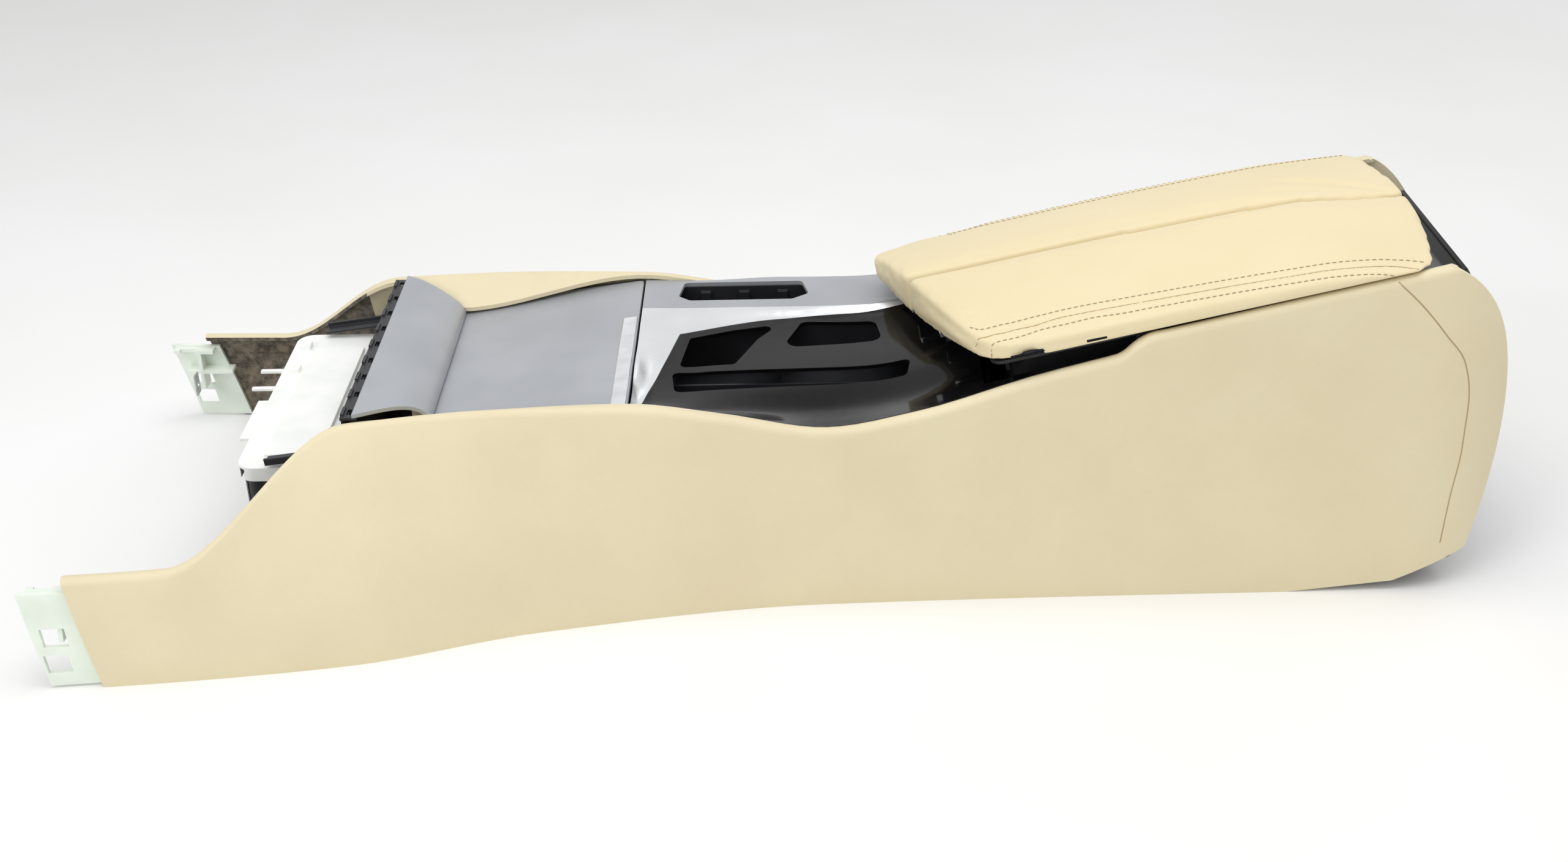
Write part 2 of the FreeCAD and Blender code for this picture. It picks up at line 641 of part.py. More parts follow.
def rim_half(x):
    """Edge of the trim beside the panel lip."""
    return crest_half(x) - S.roll - S.lip - 0.4


def far_rim(x):
    """Far edge of the passenger deck, which stands over the panel where the crest dips."""
    out = step((x - x_trim - 56) / 40) * step((x_trim + 240 - x) / 40)
    return rim_half(x) + 5 * out


def trim_profile(x):
    """Cross profile of the trim at one place."""
    lift = soft_ramp(x, x_trim + 186, 0.32)
    deck = S.deck_height + soft_ramp(x, x_trim + 190, 0.24)
    edge = low_crest(x) - 1.2
    low = S.gear_low + lift
    return smooth([(-rim_half(x), edge), ((ledge(x) - rim_half(x)) / 2, (edge + low) / 2 - S.scoop_sag),
                   (ledge(x), low), (gear_far(x), S.gear_high + lift),
                   (S.ridge_half, max(deck, S.gear_high + lift)), (S.ridge_half + 14, deck),
                   (far_rim(x) + 1, deck)])


def trim_height(x, y, profile):
    height = profile(y)
    leg = min(40.0, max(4.0, 31 - (20 - y) * 25 / 105))
    blend = step((x_trim + leg - x) / leg)
    return mix(height, max(height, lid_end), blend)


trim_grid = []
for k in range(47):
    place = mix(x_trim, x_notch, k / 46)
    cross = trim_profile(place)
    row = []
    for n in range(37):
        across = mix(-rim_half(place) - 0.5, far_rim(place) + 0.8, n / 36)
        row.append(Vector(place, across, trim_height(place, across, cross)))
    trim_grid.append(row)
trim_face = surface(trim_grid)
trim_slab = trim_face.extrude(Vector(0, 0, -S.trim_wall))
above_trim = trim_face.copy()
above_trim.translate(Vector(0, 0, -S.trim_wall))
above_trim = above_trim.extrude(Vector(0, 0, 120))


def rim_line(start, end, half, count=14):
    """A plan curve that follows a half width between two places."""
    places = [mix(start, end, k / count) for k in range(count + 1)]
    return spline([Vector(place, half(place), 0) for place in places])


def link(a, b):
    return Part.LineSegment(Vector(a[0], a[1], 0), Vector(b[0], b[1], 0)).toShape()


tip = x_notch - 4


def tail_half(x):
    """Inner edge of a trim tail that narrows to the notch."""
    return rim_half(x) - mix(S.tail_wide, 1.0, (x - x_arm) / (tip - x_arm))


corner = (x_trim + 31, gear_far(x_trim + 31))
front = (x_trim + 6, -85)
start = x_trim + 4
gear_plan = plan_prism([
    link(corner, front), link(front, (start, -rim_half(start))),
    rim_line(start, tip, lambda x: -rim_half(x)), link((tip, -rim_half(tip)), (tip, -tail_half(tip))),
    rim_line(tip, x_arm, lambda x: -tail_half(x)), link((x_arm, -tail_half(x_arm)), (x_arm, gear_far(x_arm))),
    rim_line(x_arm, corner[0], gear_far)], 80, 300)
head = x_trim + 0.8
silver_plan = plan_prism([
    link((head, far_rim(head)), (head, -rim_half(head))), rim_line(head, x_arm, lambda x: -rim_half(x)),
    link((x_arm, -rim_half(x_arm)), (x_arm, tail_half(x_arm))), rim_line(x_arm, tip, tail_half),
    link((tip, tail_half(tip)), (tip, far_rim(tip))), rim_line(tip, head, far_rim)], 80, 300)
selector = rounded_prism([(x_trim + 32, -27), (x_trim + 39, 14), (x_trim + 72, 27), (x_trim + 106, 36),
                          (x_trim + 90, 14), (x_trim + 73, -24)], 4, 80, 300)
controller = rounded_prism([(x_trim + 108, 1), (x_trim + 124, 40), (x_trim + 180, 38), (x_trim + 184, 8)],
                           8, 80, 300)
long_slot = rounded_prism([(x_trim + 27, -35), (x_trim + 203, -29), (x_trim + 199, -50), (x_trim + 30, -63)],
                          5, 80, 300)
gear = trim_slab.common(gear_plan)
for opening in (selector, controller, long_slot):
    gear = gear.cut(opening)
solid_node("gear_panel", gear)
sw_x = x_trim + 28
sw_y = 105 - S.switch_wide
sw_end = sw_x + S.switch_long
switch_hole = rounded_prism([(sw_x, sw_y + 8), (sw_x + 9, sw_y), (sw_end - 13, sw_y), (sw_end, sw_y + 10),
                             (sw_end - 5, sw_y + S.switch_wide), (sw_x + 4, sw_y + S.switch_wide)], 4, 80, 300)
skirt_from = x_trim + 72
skirt_to = x_trim + 224
skirt_spots = [mix(skirt_from, skirt_to, k / 10) for k in range(11)]
skirt_low = spline([Vector(x, far_rim(x), crest(x) + 0.4) for x in skirt_spots])
skirt_high = spline([Vector(x, far_rim(x), S.deck_height + soft_ramp(x, x_trim + 190, 0.24) - 1.5)
                     for x in skirt_spots])
skirt = Part.makeRuledSurface(skirt_low, skirt_high).extrude(Vector(0, -2.4, 0))
silver = trim_slab.common(silver_plan).cut(gear_plan).fuse(skirt).cut(switch_hole)
solid_node("silver_trim", silver)

# Black housing under the switch opening, with clip towers.
sw_base = S.deck_height - S.trim_wall - S.switch_deep
housing = cube(sw_x - 2, sw_end + 2, sw_y - 2, sw_y + S.switch_wide + 1, sw_base, S.deck_height)
housing = housing.cut(cube(sw_x, sw_end, sw_y, sw_y + S.switch_wide - 1, sw_base + 2, S.deck_height + 1))
for place in (0.2, 0.5, 0.8):
    spot = mix(sw_x, sw_end, place)
    housing = housing.fuse(cube(spot - 1, spot + 1, sw_y, sw_y + 9, sw_base + 1, sw_base + 9))
    housing = housing.fuse(cube(spot - 4, spot + 4, sw_y + S.switch_wide - 4, sw_y + S.switch_wide, sw_base + 1,
                                sw_base + 11))
solid_node("switch_housing", housing.cut(above_trim).removeSplitter())

# Well under the gear panel, its rim cut to the panel's underside.
well_ends = (x_trim + 24, x_trim + 208)
well = cube(well_ends[0], well_ends[1], -70, 46, S.well_floor, 200)
well = well.cut(cube(well_ends[0] + S.well_wall, well_ends[1] - S.well_wall, -70 + S.well_wall, 46 - S.well_wall,
                     S.well_floor + S.well_wall, 201))
well = well.fuse(cube(well_ends[0], well_ends[1], -31, -31 + S.well_wall, S.well_floor, S.well_floor + 24))
well = well.fuse(cube(x_trim + 107, x_trim + 107 + S.well_wall, -31, 46, S.well_floor, S.well_floor + 24))
solid_node("selector_well", well.cut(above_trim).removeSplitter())

# The same stations as formulas, for the sketches below.
at_tip = "-(bracket_reach + nose_length + scurve_length + bar_length + lid_length + trim_length + arm_length"
at_tip += " + tail_length) / 2"
at_deck = at_tip + " + bracket_reach + nose_length + scurve_length"
at_lid = at_deck + " + bar_length"
at_trim = at_lid + " + lid_length"
at_arm = at_trim + " + trim_length - 99"
at_corner = at_arm + " + 99 + arm_length"

# Carrier: a ladder of two webs and cross walls, cut to the pieces that lie on it.
carrier = new_body("carrier_frame")
ladder = new_sketch(carrier, "ladder", lift="foot_wall")
rectangle(ladder, at_deck + " - 20", "-web_half - web_wall", at_corner + " - 9", "web_half + web_wall")
bays = [(at_deck + " - 17", at_lid + " - 6"), (at_lid + " - 3", at_trim + " + 3"),
        (at_trim + " + 6", at_arm + " - 4"), (at_arm + " - 1", at_corner + " - 12")]
for begin, end in bays:
    rectangle(ladder, begin, "-web_half", end, "web_half")
pad(carrier, ladder, "320")
profile = new_sketch(carrier, "profile", "XZ_Plane")
seat = "arm_base - 6.2"
outline(profile, [(at_deck + " - 30", "tray_height - 4"), (at_lid + " - 6", "tray_height - 4"),
                  (at_lid + " - 6", "tray_height"), (at_trim + " + 6", "tray_height"),
                  (at_trim + " + 6", "gear_low - 17"), (at_arm + " - 4", "gear_low - 17"),
                  (at_arm + " - 4", "gear_low + 6"), (at_arm + " + 103", "notch_crest - 11"),
                  (at_arm + " + 103", seat + " + 103 * tan(arm_slope)"),
                  (at_corner + " + 20", seat + " + (arm_length + 119) * tan(arm_slope)"),
                  (at_corner + " + 20", "400"), (at_deck + " - 30", "400")])
pocket(carrier, profile, "900", middle=True)
tunnel = new_sketch(carrier, "tunnel", "YZ_Plane")
rectangle(tunnel, "-duct_wide / 2 - 10", "-1", "duct_wide / 2 + 10", "duct_height + duct_tall / 2 + 3")
pocket(carrier, tunnel, "2400", middle=True)
relief = new_sketch(carrier, "relief", "XZ_Plane")
for begin, end, high in ((at_deck, at_lid + " - 18", "tray_height - 28"),
                         (at_lid + " + 14", at_trim + " - 14", "tray_height - 46"),
                         (at_trim + " + 24", at_arm + " - 24", "gear_low - 40"),
                         (at_arm + " + 24", at_corner + " - 40", "arm_base - 70")):
    outline(relief, [(begin, "34"), (end, "34"), (end, high), (begin, high)])
pocket(carrier, relief, "900", middle=True)
vent_way = new_sketch(carrier, "vent_way", "YZ_Plane", at_corner + " - 30")
rectangle(vent_way, "-duct_wide / 2", "rear_crest - 130", "duct_wide / 2", "rear_crest - 22")
pocket(carrier, vent_way, "40", reverse=True)
feet = new_sketch(carrier, "feet")
holes = new_sketch(carrier, "holes")
for along in (at_deck + " + 6", at_deck + " + 6 + bolt_long"):
    for side in ("", "-"):
        inner = f"{side}(bolt_wide / 2 - 14)"
        outer = f"{side}(web_half + web_wall)"
        rectangle(feet, along + " - 15", inner, along + " + 15", outer)
        ring(holes, along, f"{side}bolt_wide / 2", "bolt_radius")
pad(carrier, feet, "foot_wall + 3")
pocket(carrier, holes, "40", middle=True)

# Front air box and its white cap.
box_end = x_deck - 20
box_start = box_end - S.box_deep
box_place = Placement(Vector(box_start, 0, 0), Rotation())
air_box = new_body("air_box")
box_plan = new_sketch(air_box, "plan", lift="box_bottom")
rectangle(box_plan, "0", "-box_half", "box_deep", "box_half")
pad(air_box, box_plan, "box_top - box_bottom")
round_edges(air_box, "12", lambda edge: upright(edge) and edge.Vertexes[0].Point.x < 1)
box_room = new_sketch(air_box, "room", lift="box_bottom + 3")
rectangle(box_room, "3", "-box_half + 3", "box_deep - 3", "box_half - 3")
pocket(air_box, box_room, "box_top", reverse=True)
box_mouth = new_sketch(air_box, "mouth", "YZ_Plane")
rectangle(box_mouth, "-box_half + 22", "box_bottom + 10", "box_half - 22", "box_top - 8")
pocket(air_box, box_mouth, "20", reverse=True)
box_outlet = new_sketch(air_box, "outlet", lift="box_bottom")
rectangle(box_outlet, "box_deep - 40 + duct_wall", "-duct_wide / 2 + duct_wall", "box_deep - 20 - duct_wall",
          "duct_wide / 2 - duct_wall")
pocket(air_box, box_outlet, "12", middle=True)
air_box.Placement = box_place
cap = new_body("air_box_cap")
cap_plan = new_sketch(cap, "plan", lift="box_top - 4")
rectangle(cap_plan, "-2.5", "-box_half - 2.5", "box_deep", "box_half + 2.5")
pad(cap, cap_plan, "cap_tall + 4")
round_edges(cap, "13", lambda edge: upright(edge) and edge.Vertexes[0].Point.x < 1)
cap_room = new_sketch(cap, "room", lift="box_top - 5")
rectangle(cap_room, "-0.3", "-box_half - 0.3", "box_deep + 1", "box_half + 0.3")
pocket(cap, cap_room, "cap_tall + 2.5", reverse=True)
cap_steps = new_sketch(cap, "steps", lift="box_top + cap_tall - 1")
rectangle(cap_steps, "16", "-box_half + 10", "box_deep - 6", "box_half - 30")
for place in (20, 62):
    rectangle(cap_steps, "4", f"box_half - {place} - 7", "12", f"box_half - {place} + 3")
pad(cap, cap_steps, "5")
cap_tabs = new_sketch(cap, "tabs", lift="box_top + 1")
for place in (22, 52):
    rectangle(cap_tabs, "-22", f"{place}", "4", f"{place + 4}")
rectangle(cap_tabs, "-12", "-58", "4", "2")
pad(cap, cap_tabs, "2.4")
cap.Placement = box_place

# Cup tray under the lid.
tray = new_body("cup_tray")
tray_plan = new_sketch(tray, "plan")
tray_end = "(lid_length - 6) / 2"
rectangle(tray_plan, "-" + tray_end, "-web_half - web_wall", tray_end, "web_half + web_wall")
pad(tray, tray_plan, "tray_wall")
round_edges(tray, "8", upright)
cups = new_sketch(tray, "cups", lift="tray_wall")
wells = new_sketch(tray, "wells", lift="tray_wall")
for side in ("", "-"):
    ring(cups, "0", f"{side}cup_pitch / 2", "cup_radius + tray_wall")
    ring(wells, "0", f"{side}cup_pitch / 2", "cup_radius")
cup_body = pad(tray, cups, "cup_deep", reverse=True)
cup_body.setExpression("TaperAngle", formula("-atan(cup_taper / cup_deep)"))
cup_room = pocket(tray, wells, "cup_deep - tray_wall")
cup_room.setExpression("TaperAngle", formula("-atan(cup_taper / cup_deep)"))
tray.Placement = Placement(Vector(x_mid_lid, 0, S.tray_height), Rotation())

# Air duct from the air box to the rear vents.
duct = new_body("air_duct")
duct_side = new_sketch(duct, "side", "XZ_Plane")
duct_low = "duct_height - duct_tall / 2"
duct_high = "duct_height + duct_tall / 2"
duct_back = at_corner + " - 17"
outline(duct_side, [(at_deck + " - 60", duct_low), (duct_back, duct_low), (duct_back, "rear_crest - 60"),
                    (duct_back + " - duct_tall", "rear_crest - 60"), (duct_back + " - duct_tall", duct_high),
                    (at_deck + " - 40", duct_high), (at_deck + " - 40", "box_bottom"),
                    (at_deck + " - 60", "box_bottom")])
pad(duct, duct_side, "duct_wide", middle=True)
round_edges(duct, "6", lambda edge: len(edge.Vertexes) == 2 and edge.Length > S.duct_wide - 1
            and edge.Vertexes[0].Point.z < S.duct_height and abs(edge.Vertexes[0].Point.x) > 250)
duct_room = new_sketch(duct, "room", "XZ_Plane")
outline(duct_room, [(at_deck + " - 60 + duct_wall", duct_low + " + duct_wall"),
                    (duct_back + " - duct_wall", duct_low + " + duct_wall"),
                    (duct_back + " - duct_wall", "rear_crest - 50"),
                    (duct_back + " - duct_tall + duct_wall", "rear_crest - 50"),
                    (duct_back + " - duct_tall + duct_wall", duct_high + " - duct_wall"),
                    (at_deck + " - 40 - duct_wall", duct_high + " - duct_wall"),
                    (at_deck + " - 40 - duct_wall", "box_bottom + 9"),
                    (at_deck + " - 60 + duct_wall", "box_bottom + 9")])
pocket(duct, duct_room, "duct_wide - 2 * duct_wall", middle=True)

# Storage bin and its mat.
storage = new_body("storage_bin")
bin_plan = new_sketch(storage, "plan")
rectangle(bin_plan, "-bin_wall", "-bin_wide / 2 - bin_wall", "bin_long + bin_wall", "bin_wide / 2 + bin_wall")
pad(storage, bin_plan, "260")
bin_room = new_sketch(storage, "room", lift="bin_wall")
rectangle(bin_room, "0", "-bin_wide / 2", "bin_long", "bin_wide / 2")
pocket(storage, bin_room, "260", reverse=True)
round_edges(storage, "bin_corner - bin_wall", lambda edge: upright(edge)
            and abs(abs(edge.Vertexes[0].Point.y) - S.bin_wide / 2) < 0.1)
round_edges(storage, "bin_corner", lambda edge: upright(edge)
            and abs(abs(edge.Vertexes[0].Point.y) - S.bin_wide / 2 - S.bin_wall) < 0.1
            and abs(abs(edge.Vertexes[0].Point.x - S.bin_long / 2) - S.bin_long / 2 - S.bin_wall) < 0.1)
bin_top = new_sketch(storage, "top", "XZ_Plane")
bin_seat = "arm_base - bin_floor - 6.2"
outline(bin_top, [("-20", bin_seat + " + 5 * tan(arm_slope)"),
                  ("bin_long + 20", bin_seat + " + (bin_long + 45) * tan(arm_slope)"),
                  ("bin_long + 20", "400"), ("-20", "400")])
pocket(storage, bin_top, "600", middle=True)
bin_start = x_arm + 25
storage.Placement = Placement(Vector(bin_start, 0, S.bin_floor), Rotation())
mat = new_body("bin_mat")
mat_plan = new_sketch(mat, "plan")
rectangle(mat_plan, "3", "-bin_wide / 2 + 3", "bin_long - 3", "bin_wide / 2 - 3")
pad(mat, mat_plan, "mat_wall")
round_edges(mat, "bin_corner - bin_wall", upright)
mat_rib = new_sketch(mat, "rib", lift="mat_wall")
rectangle(mat_rib, "12", "-bin_wide / 2 + 14", "15", "bin_wide / 2 - 14")
rib_pad = pad(mat, mat_rib, "mat_rib")
doc.recompute()
pattern = mat.newObject("PartDesign::LinearPattern", "bin_mat_ribs")
pattern.Originals = [rib_pad]
pattern.Direction = (mat_rib, ["H_Axis"])
pattern.setExpression("Length", formula("bin_long - 30"))
pattern.Occurrences = 17
mat.Tip = pattern
mat.Placement = Placement(Vector(bin_start, 0, S.bin_floor + S.bin_wall), Rotation())

# Armrest, built flat in its own frame and then tilted.
arm_place = Placement(Vector(x_arm, 0, S.arm_base), Rotation(Vector(0, 1, 0), -S.arm_slope))


def arm_edge(y):
    """Front edge of the armrest in plan."""
    return -S.arm_front - S.arm_skew / 190 * y + 0.00094 * y * y


def arm_outline(side, inset=0.0):
    """Plan edges of one armrest half, side -1 for left and 1 for right."""
    half = S.arm_half - inset
    gap = S.arm_gap / 2 + 0.3 * inset
    bend = arm_edge(side * 84) + inset
    points = [Vector(arm_edge(side * y) + inset, side * y, 0) for y in (gap, 28, 56, 84)]
    points += [Vector(bend + 13, side * (half - 11), 0), Vector(bend + 38, side * (half - 2), 0),
               Vector(bend + 66, side * half, 0)]
    nose = Part.BSplineCurve()
    nose.interpolate(points)
    back = S.arm_rear - inset
    bow = 20
    turn = bow * (1 - math.sqrt(0.5))
    corner_arc = Part.Arc(Vector(back - bow, side * half, 0), Vector(back - turn, side * (half - turn), 0),
                          Vector(back, side * (half - bow), 0))
    tail = [Vector(back + S.arm_bow * (1 - (y / (half - bow)) ** 2), side * y, 0)
            for y in (half - bow, 0.6 * half, 0.3 * half, gap)]
    return [nose.toShape(), link((points[-1].x, side * half), (back - bow, side * half)), corner_arc.toShape(),
            spline(tail), link((tail[-1].x, side * gap), (points[0].x, side * gap))]


def pad_top(x, y):
    """Top of the armrest above its base."""
    along = (x + S.arm_front) / (S.arm_rear + S.arm_front)
    arch = S.pad_arch * 4 * along * (1 - along)
    crown = S.pad_crown * mix(1.0, 0.8, along) * min(1.15, abs(y) / 95) ** 2
    droop = 1 - 0.5 * step((x - S.arm_rear + 80) / 100)
    return (mix(S.pad_front, S.pad_rear, along) + arch - crown) * droop


pad_grid = []
for k in range(25):
    place = mix(-130, S.arm_rear + S.arm_bow + 10, k / 24)
    pad_grid.append([Vector(place, mix(-S.arm_half - 6, S.arm_half + 6, n / 24),
                            pad_top(place, mix(-S.arm_half - 6, S.arm_half + 6, n / 24))) for n in range(25)])
pad_slab = surface(pad_grid).extrude(Vector(0, 0, -90))
axis_height = S.hinge_rise
hinge_spots = (32.0, 76.0)
leaf = S.leaf_long
knuckle = S.knuckle_long


def barrel(start, length, radius, side):
    """A cylinder on the hinge axis."""
    return Part.makeCylinder(radius, length, Vector(start, side * S.hinge_half, axis_height), Vector(1, 0, 0))


frame_top = -S.liner_wall - 1.2
frame_low = frame_top - S.frame_wall
frame_ends = (2.0, S.arm_rear - 14)
room_start = (bin_start - x_arm) / math.cos(math.radians(S.arm_slope)) - 0.4
room_end = (bin_start + S.bin_long - x_arm) / math.cos(math.radians(S.arm_slope)) - 0.8
arm_frame = cube(frame_ends[0], frame_ends[1], -S.frame_half, S.frame_half, frame_low, frame_top)
arm_frame = arm_frame.makeFillet(10, [edge for edge in arm_frame.Edges if upright(edge)])
room = cube(room_start, room_end, -S.bin_wide / 2, S.bin_wide / 2, frame_low - 5, frame_top + 5)
room = room.makeFillet(S.bin_corner - S.bin_wall, [edge for edge in room.Edges if upright(edge)])
arm_frame = arm_frame.cut(room)
arm_frame = arm_frame.fuse(cube(frame_ends[0] + 10, frame_ends[0] + 12.5, -86, 86, -18, frame_low + 0.5))
tongue_x = room_start - 11
for side in (-1, 1):
    middle = side * 14
    arm_frame = arm_frame.cut(cube(tongue_x - 1.6, tongue_x + 4.6, middle - 8, middle + 8, -40, 5))
frame_node = solid_node("armrest_frame", arm_frame.removeSplitter())
frame_node.Placement = arm_place

# Hinge arms: each stands on the frame, reaches out inside a pocket of the pad and carries a pin.
arm_foot = S.frame_half - 2.8
arm_wall = 2.0
hinge_arms = []
for side in (-1, 1):
    for spot in hinge_spots:
        reach = sorted((side * arm_foot, side * S.hinge_half))
        arm_start = spot - leaf / 2
        arm_top = axis_height + arm_wall / 2
        hinge_arm = cube(arm_start, arm_start + leaf, *reach, arm_top - arm_wall, arm_top)
        reach = sorted((side * arm_foot, side * (arm_foot + arm_wall)))
        hinge_arm = hinge_arm.fuse(cube(arm_start, arm_start + leaf, *reach, frame_top, arm_top))
        hinge_arm = hinge_arm.fuse(barrel(arm_start, leaf, S.knuckle_radius, side))
        pin = barrel(arm_start - knuckle, leaf + 2 * knuckle, S.pin_radius, side)
        hinge_arms.append(hinge_arm.fuse(pin).removeSplitter())
pin_node = solid_node("hinge_pins", Part.Compound(hinge_arms))
pin_node.Placement = arm_place

for side, word in ((-1, "left"), (1, "right")):
    cushion = plan_prism(arm_outline(side), 0, 60).common(pad_slab)
    gap = S.arm_gap / 2
    brim = []
    for edge in cushion.Edges:
        centre = edge.CenterOfMass
        if centre.z > 2.5 and abs(abs(centre.y) - gap) > 0.05 and not upright(edge):
            brim.append(edge)
    lowest = min(edge.BoundBox.ZMin for edge in brim)
    cushion = cushion.makeFillet(min(S.pad_round, 0.8 * lowest), brim)
    liner = plan_prism(arm_outline(side, S.liner_inset), -S.liner_wall, 0)
    for spot in hinge_spots:
        reach = sorted((side * (arm_foot - 0.8), side * (S.hinge_half + S.knuckle_radius + 0.5)))
        pocket_room = cube(spot - leaf / 2 - 0.5, spot + leaf / 2 + 0.5, *reach, -10,
                           axis_height + S.knuckle_radius + 0.5)
        bore = barrel(spot - leaf / 2 - knuckle - 0.5, leaf + 2 * knuckle + 1, S.pin_radius + S.pin_play, side)
        cushion = cushion.cut(pocket_room).cut(bore)
        liner = liner.cut(pocket_room)
    cushion_node = solid_node(f"armrest_pad_{word}", cushion)
    cushion_node.Placement = arm_place
    boss_front = arm_edge(side * 26) + 12
    boss_low = -S.button_tall - 4.6
    reach = sorted((side * (26 - S.button_wide / 2 - 4), side * (26 + S.button_wide / 2 + 4)))
    liner = liner.fuse(cube(boss_front, boss_front + S.button_long + 3, reach[0], reach[1], boss_low, -0.2))
    slot_y = S.button_wide / 2 + S.button_play
    slot = cube(boss_front - 30, boss_front + S.button_long, side * 26 - slot_y, side * 26 + slot_y,
                -2.4 - S.button_tall - S.button_play, -2.4 + S.button_play)
    liner = liner.cut(slot)
    liner_node = solid_node(f"armrest_liner_{word}", liner.removeSplitter())
    liner_node.Placement = arm_place
    tongue = cube(tongue_x, tongue_x + 3, side * 14 - 6, side * 14 + 6, -15, -S.liner_wall)
    tongue = tongue.makeChamfer(1.0, [edge for edge in tongue.Edges if edge.CenterOfMass.z < -14.9])
    tongue_node = solid_node(f"latch_tongue_{word}", tongue)
    tongue_node.Placement = arm_place
    button = cube(boss_front - 4, boss_front - 4 + S.button_long, side * 26 - S.button_wide / 2,
                  side * 26 + S.button_wide / 2, -2.4 - S.button_tall, -2.4)
    button = button.makeFillet(1.4, [edge for edge in button.Edges if edge.CenterOfMass.x < boss_front - 3.9])
    button_node = solid_node(f"release_button_{word}", button)
    button_node.Placement = arm_place

# Rear cover between the panels, with a window for the vent housing.
cover_line = rear_edge.copy()
cover_line.translate(Vector(-8, -140, -9))
cover = cover_line.extrude(Vector(0, 280, 0)).extrude(Vector(-S.cover_wall, 0, -S.cover_wall * 0.55))
corner_turns = [k / 8 * math.radians(66) for k in range(9)]
corner_spots = [rear_corner(turn) for turn in corner_turns]


def cover_half(spot):
    return crest_half(x_wrap) - spot[1] - S.skin - 0.2


left_line = [Vector(x_corner - 30, -cover_half((0, 0)), 0)]
left_line += [Vector(spot[0], -cover_half(spot), 0) for spot in corner_spots]
right_line = [Vector(v.x, -v.y, 0) for v in left_line]
cover_plan = plan_prism([spline(left_line), Part.LineSegment(left_line[-1], right_line[-1]).toShape(),
                         spline(right_line), Part.LineSegment(right_line[0], left_line[0]).toShape()], 10, 400)
vent_middle = Vector(x_corner + 46, 0, S.rear_crest - 50)
vent_place = Placement(vent_middle, Rotation(Vector(0, 1, 0), 90 - S.vent_tilt))


def at_vent(shape):
    """A shape built on the vent's own axes, turned into place."""
    moved = shape.copy()
    moved.Placement = vent_place.multiply(moved.Placement)
    return moved


half_tall = S.vent_tall / 2
half_wide = S.vent_wide / 2
rim_tall = half_tall + 2.5
rim_wide = half_wide + 2.5
window = cube(-rim_tall - 0.3, rim_tall + 0.3, -rim_wide - 0.3, rim_wide + 0.3, -S.vent_deep - 20, 40)
cover = cover.common(cover_plan).cut(at_vent(window))
# The cover's top corners make room for the rolled crests of the panels.
for side in (-1, 1):
    reach = sorted((side * (S.rear_half - S.roll - S.lip - 2.6), side * 200))
    cover = cover.cut(cube(x_corner - 40, x_rear + 20, *reach, S.rear_crest - S.roll - S.skin - 1, 400))
solid_node("rear_cover", cover)
vent_box = cube(-half_tall, half_tall, -half_wide, half_wide, -S.vent_deep, 3)
vent_box = vent_box.makeFillet(5, [edge for edge in vent_box.Edges if upright(edge)])
grille_y = S.grille_wide / 2 + 8
pivot = -S.grille_deep / 2 - 1
swing = math.hypot(S.grille_tall, S.grille_deep) / 2 + 0.6
grilles = []
for side in (-1, 1):
    tall = S.grille_tall / 2
    wide = S.grille_wide / 2
    deep = S.grille_deep / 2
    hollow = cube(-swing, swing, side * grille_y - wide - 0.5, side * grille_y + wide + 0.5, -S.vent_deep - 1, 4)
    bore = Part.makeCylinder(1.55, S.grille_wide + 8, Vector(0, side * grille_y - wide - 4, pivot), Vector(0, 1, 0))
    vent_box = vent_box.cut(hollow).cut(bore)
    grille = cube(-tall, tall, -wide, wide, -deep, deep)
    grille = grille.cut(cube(-tall + 2, tall - 2, -wide + 2, wide - 2, -30, 30))
    for k in range(1, 5):
        spot = mix(-tall + 2, tall - 2, k / 5)
        vane = cube(spot - S.vane_wall / 2, spot + S.vane_wall / 2, -wide + 1, wide - 1, -deep, deep - 1)
        grille = grille.fuse(vane)
    grille = grille.fuse(cube(-tall + 1, tall - 1, -1, 1, -deep + 2, deep - 3))
    for end in (-1, 1):
        stub = Part.makeCylinder(1.5, 4.0, Vector(0, end * (wide - 0.5), 0), Vector(0, end, 0))
        grille = grille.fuse(stub)
    grille.translate(Vector(0, side * grille_y, pivot))
    grilles.append(grille.removeSplitter())
vent_node = solid_node("vent_housing", vent_box.removeSplitter())
vent_node.Placement = vent_place
rim = cube(-rim_tall, rim_tall, -rim_wide, rim_wide, 2.2, 5)
rim = rim.makeFillet(7, [edge for edge in rim.Edges if upright(edge)])
rim_hole = cube(-half_tall + 2, half_tall - 2, -half_wide + 2, half_wide - 2, -1, 8)
rim_hole = rim_hole.makeFillet(4, [edge for edge in rim_hole.Edges if upright(edge)])
rim_seat = cube(-half_tall, half_tall, -half_wide, half_wide, -1, 3)
rim_seat = rim_seat.makeFillet(5, [edge for edge in rim_seat.Edges if upright(edge)])
chrome = solid_node("vent_chrome_frame", rim.cut(rim_hole).cut(rim_seat))
chrome.Placement = vent_place
for grille, word in zip(grilles, ("left", "right")):
    grille_node = solid_node(f"vent_grille_{word}", grille)
    grille_node.Placement = vent_place
doc.recompute()

for item in doc.Objects:
    if "Invalid" in item.State or "Error" in item.State:
        raise RuntimeError(item.Name)
os.makedirs("parts", exist_ok=True)
for item in NODES:
    if item.Shape.isNull() or not item.Shape.isValid() or not item.Shape.Solids:
        raise RuntimeError(item.Label)
    item.Shape.exportStep(f"parts/{item.Label}.step")
    print(item.Label, len(item.Shape.Solids), round(item.Shape.Volume / 1000, 2))
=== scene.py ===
# %% [markdown]
# # The looks of a car's center console
# The CAD model gives every piece its real shape, size and place. This lesson dresses that model:
# it gives each piece its finish, sews the leather, swells the armrest pads and sets up a small studio.
# The frame is loaded first, because every later step measures itself against it.

# %% Load the frame
import json
import math

